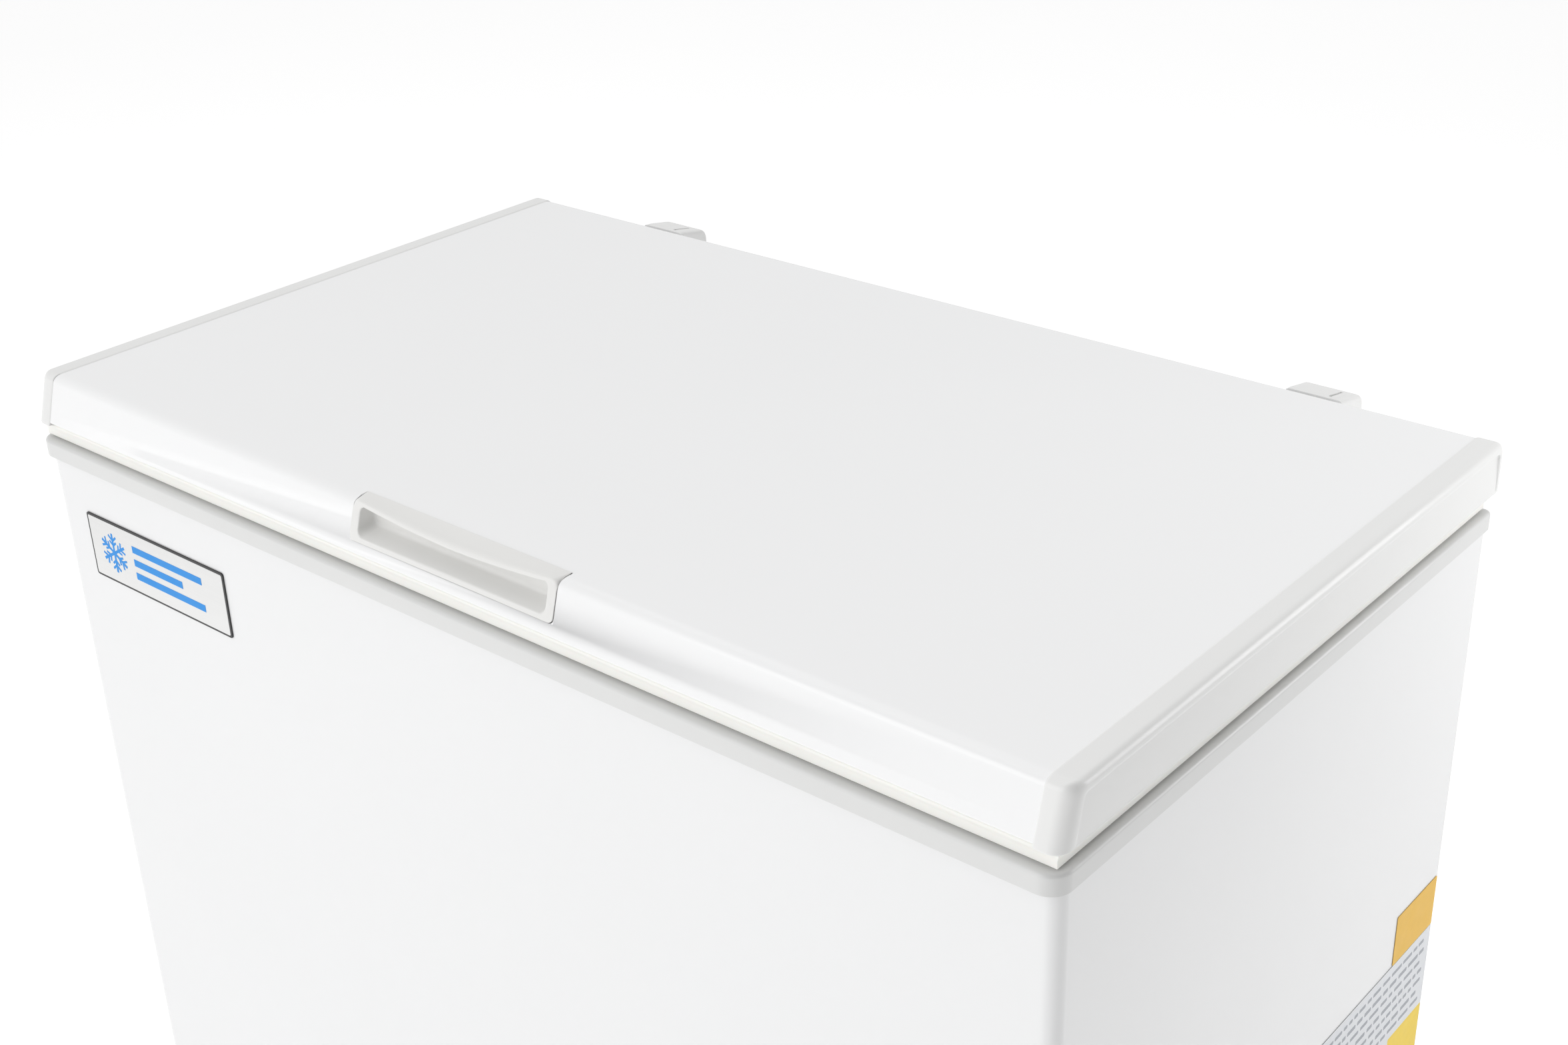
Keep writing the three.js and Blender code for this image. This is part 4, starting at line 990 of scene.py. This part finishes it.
def knob():
    """The thermostat's fluted knob on a round skirt, with a shaft behind and a grip bar in front."""
    low, high = span("thermostat_knob")
    x, z = (low.x + high.x) / 2, (low.z + high.z) / 2
    centre = (x, 0, z)
    radius = (high.x - low.x) / 2
    depth, grip_half_width, grip_half_height = 18.4, 2.6, 14.5
    front = low.y
    back = front + depth
    skirt = turned(
        [(radius - 0.6, back), (radius, back - 0.6), (radius, back - 4.5), (radius - 0.5, back - 5.2)],
        centre, "y", 96,
    )
    body = turned(
        [(radius - 2, back - 5), (radius - 2.2, back - 7), (radius - 3.8, front + 3.6),
         (radius - 4.6, front + 2.2), (radius - 6.0, front + 1.4)],
        centre, "y", 144, waves=24, wave_depth=0.9,
    )
    shaft = turned([(3, back), (3, back + 9)], centre, "y", 24)
    grip_x = (x - grip_half_width, x + grip_half_width)
    grip_z = (z - grip_half_height, z + grip_half_height)
    grip = plate(grip_x, grip_z, (front, front + 4), 2.4, 0.8)
    whole = joined([skirt, body, shaft, grip])
    node = "thermostat_knob"
    piece("dial_knob", whole, WARM_PLASTIC, node, "white_plastic", node, sharp=40)


def level_feet():
    """Four moulded feet, fluted all round."""
    for corner in ("front_left", "front_right", "back_left", "back_right"):
        low, high = span("foot_" + corner)
        centre = ((low.x + high.x) / 2, (low.y + high.y) / 2, 0)
        profile = [
            (14.0, 0), (15.0, 0.3), (15.6, 1.2), (17.0, 3.0), (19.6, 15.0), (20.0, 17.4),
            (20.0, high.z - 0.4), (19.6, high.z),
        ]
        foot = turned(profile, centre, "z", 72, waves=18, wave_depth=0.8)
        name = "level_foot_" + corner
        piece(name, foot, DARK_PLASTIC, "cabinet", "black_plastic", "foot_" + corner, sharp=40)


def wire_basket():
    """A hanging basket of coated wire: a thick rim, two hoops, and bent wires that cross below."""
    low, high = span("basket")
    rim, wire = 1.8, 1.25
    hang = high.z - rim
    left, right = low.x + rim, high.x - rim
    front, back = low.y + rim, high.y - rim
    foot = low.z + wire
    inset, lift = 11.0, 2.2
    parts = []

    def hoop(x_span, y_span, z, radius, corner):
        ring = [(x, y, z) for x, y in rounded_rectangle(x_span, y_span, [corner] * 4, 6)]
        parts.append(closed_tube(ring, radius))

    hoop((left, right), (front, back), hang, rim, 12)
    for share in (0.33, 0.66):
        z = foot + (hang - foot) * share
        hoop((left + wire, right - wire), (front + inset, back - inset), z, wire, 10)
    for i in range(1, 8):
        x = left + (right - left) * i / 8
        corners = [(x, front, hang), (x, front + inset, hang - 3), (x, front + inset, foot),
                   (x, back - inset, foot), (x, back - inset, hang - 3), (x, back, hang)]
        parts.append(tube(bent(corners, 6), wire, 8))
    for i in range(1, 15):
        y = front + inset + (back - front - 2 * inset) * i / 15
        corners = [(left, y, hang), (left, y, foot + lift), (right, y, foot + lift), (right, y, hang)]
        parts.append(tube(bent(corners, 8), wire, 8))
    piece("wire_basket", joined(parts), WIRE_COATING, "basket", "white_wire", "basket", sharp=60)


def closed_tube(ring, radius, sides=10):
    """A round wire that closes on itself along a level ring of points."""
    points = [Vector(p) for p in ring]
    up = Vector((0, 0, 1))
    rings = []
    for i, point in enumerate(points):
        along = (points[(i + 1) % len(points)] - points[i - 1]).normalized()
        across = along.cross(up)
        section = []
        for k in range(sides):
            angle = 2 * math.pi * k / sides
            section.append(tuple(point + radius * (math.cos(angle) * across + math.sin(angle) * up)))
        rings.append(section)
    return loft(rings, closed=True)


# ---- the CAD nodes that stay, with their finishes ----

CAD_FINISHES = {
    "back_panel": ZINC_SHEET, "base_pan": ZINC_SHEET, "foam_insulation": FOAM, "lid_foam": FOAM,
    "inner_liner": LINER_SHEET, "control_panel": WARM_PLASTIC, "power_indicator": GREEN_LENS,
    "run_indicator": AMBER_LENS, "thermostat_body": DARK_PLASTIC, "compressor_shell": BLACK_ENAMEL,
    "compressor_mount_plate": ZINC_SHEET, "relay_cover": DARK_PLASTIC, "filter_drier": COPPER,
    "discharge_tube": COPPER, "suction_tube": COPPER, "evaporator_coil": COPPER, "condenser_coil": COPPER,
    "side_grille": CAP_PLASTIC, "rear_service_cover": ZINC_SHEET, "drain_tube": CAP_PLASTIC,
    "cord_gland": BLACK_RUBBER, "drain_cap": CAP_PLASTIC, "drain_plug": BLACK_RUBBER,
}
CAD_FINISHES.update({"compressor_grommet_" + str(i): BLACK_RUBBER for i in range(1, 5)})
for end in ("left", "right"):
    plated = ["hinge_" + part + "_" + end for part in ("bracket", "arm", "pin")]
    plated += ["hinge_screw_" + end + "_" + height for height in ("upper", "lower")]
    CAD_FINISHES.update(dict.fromkeys(plated, ZINC_PLATE))
    CAD_FINISHES["hinge_spring_" + end] = SPRING_WIRE

ROUND_EDGES = {
    "control_panel": 0.6, "side_grille": 0.5, "rear_service_cover": 0.25, "relay_cover": 1.0,
    "compressor_mount_plate": 0.4, "hinge_bracket_left": 0.3, "hinge_bracket_right": 0.3,
    "hinge_arm_left": 0.3, "hinge_arm_right": 0.3, "drain_cap": 0.4, "drain_plug": 0.3,
}


def finish_cad_nodes():
    for name, finish in CAD_FINISHES.items():
        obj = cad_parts[name]
        obj.data.materials.clear()
        obj.data.materials.append(finish)
        if name in ROUND_EDGES:
            soften(obj, ROUND_EDGES[name])
        shade(obj, 40)


# ---- stage, light and camera ----

CAMERA = {
    "place": (0.94719, -1.04649, 1.45326),
    "azimuth": 40.84, "elevation": 26.56, "roll": -1.84, "lens": 48.19,
}


def make_camera():
    """The photo's camera, as solved from it; azimuth is from the front towards the right."""
    azimuth, elevation = math.radians(CAMERA["azimuth"]), math.radians(CAMERA["elevation"])
    level = math.cos(elevation)
    back = Vector((math.sin(azimuth) * level, -math.cos(azimuth) * level, math.sin(elevation)))
    right = (-back).cross(Vector((0, 0, 1))).normalized()
    up = right.cross(-back)
    turn = Matrix((right, up, back)).transposed() @ Matrix.Rotation(math.radians(CAMERA["roll"]), 3, "Z")
    data = bpy.data.cameras.new("camera")
    data.lens = CAMERA["lens"]
    data.sensor_width = 36
    data.clip_end = 100
    camera = bpy.data.objects.new("camera", data)
    camera.matrix_world = Matrix.Translation(CAMERA["place"]) @ turn.to_4x4()
    bpy.context.scene.collection.objects.link(camera)
    bpy.context.scene.camera = camera


def soft_box(name, place_at, target, size, power):
    data = bpy.data.lights.new(name, "AREA")
    data.shape = "RECTANGLE"
    data.size, data.size_y = size
    data.energy = power
    light = bpy.data.objects.new(name, data)
    light.location = place_at
    light.rotation_mode = "QUATERNION"
    light.rotation_quaternion = (Vector(target) - Vector(place_at)).to_track_quat("-Z", "Y")
    bpy.context.scene.collection.objects.link(light)


def make_stage():
    sides = (-14000, 14000)
    floor = solid("floor", slab(sides, sides, (-20, 0)))
    nodes = Nodes("pale_floor", Roughness=0.6, Emission_Color=(1, 1, 1, 1), Emission_Strength=0.34)
    nodes.colours(nodes.noise(0.8, 2), (1, 1, 1), 0.9, 0.92)
    floor.data.materials.append(nodes.material)
    make_studio()
    bpy.context.scene.view_settings.view_transform = "Standard"
    middle = Vector((0, 0, 0.6))
    soft_box("key", (-0.5, -3.2, 2.2), middle, (3.2, 2.4), 43)
    soft_box("overhead", (-0.4, 0.8, 3.4), middle, (3.0, 3.0), 19.5)
    soft_box("rear_side", (1.05, 0.6, 0.95), (0.47, 0.1, 0.65), (0.5, 0.5), 3.5)


def make_studio():
    """A white room, even on the left, that falls to black towards the right and a little to the front."""
    world = bpy.data.worlds.new("studio")
    world.use_nodes = True
    tree = world.node_tree
    direction = tree.nodes.new("ShaderNodeTexCoord")
    toward = tree.nodes.new("ShaderNodeVectorMath")
    toward.operation = "DOT_PRODUCT"
    toward.inputs[1].default_value = (0.97, -0.24, 0)
    level = tree.nodes.new("ShaderNodeMapRange")
    feed(level, From_Min=0.0, From_Max=1.0, To_Min=0.82, To_Max=0.0)
    tree.links.new(direction.outputs["Generated"], toward.inputs[0])
    tree.links.new(toward.outputs["Value"], level.inputs["Value"])
    tree.links.new(level.outputs["Result"], tree.nodes["Background"].inputs["Strength"])
    feed(tree.nodes["Background"], Color=(1, 1, 1, 1))
    bpy.context.scene.world = world


make_camera()
make_stage()

lid_sheet()
for cap_side in ("left", "right"):
    end_cap(cap_side)
    hinge_hood(cap_side)
finger_pull()
magnetic_seal()
inner_panel()
cabinet_shell()
collar_moulding()
badge()
side_labels()
knob()
level_feet()
wire_basket()
finish_cad_nodes()
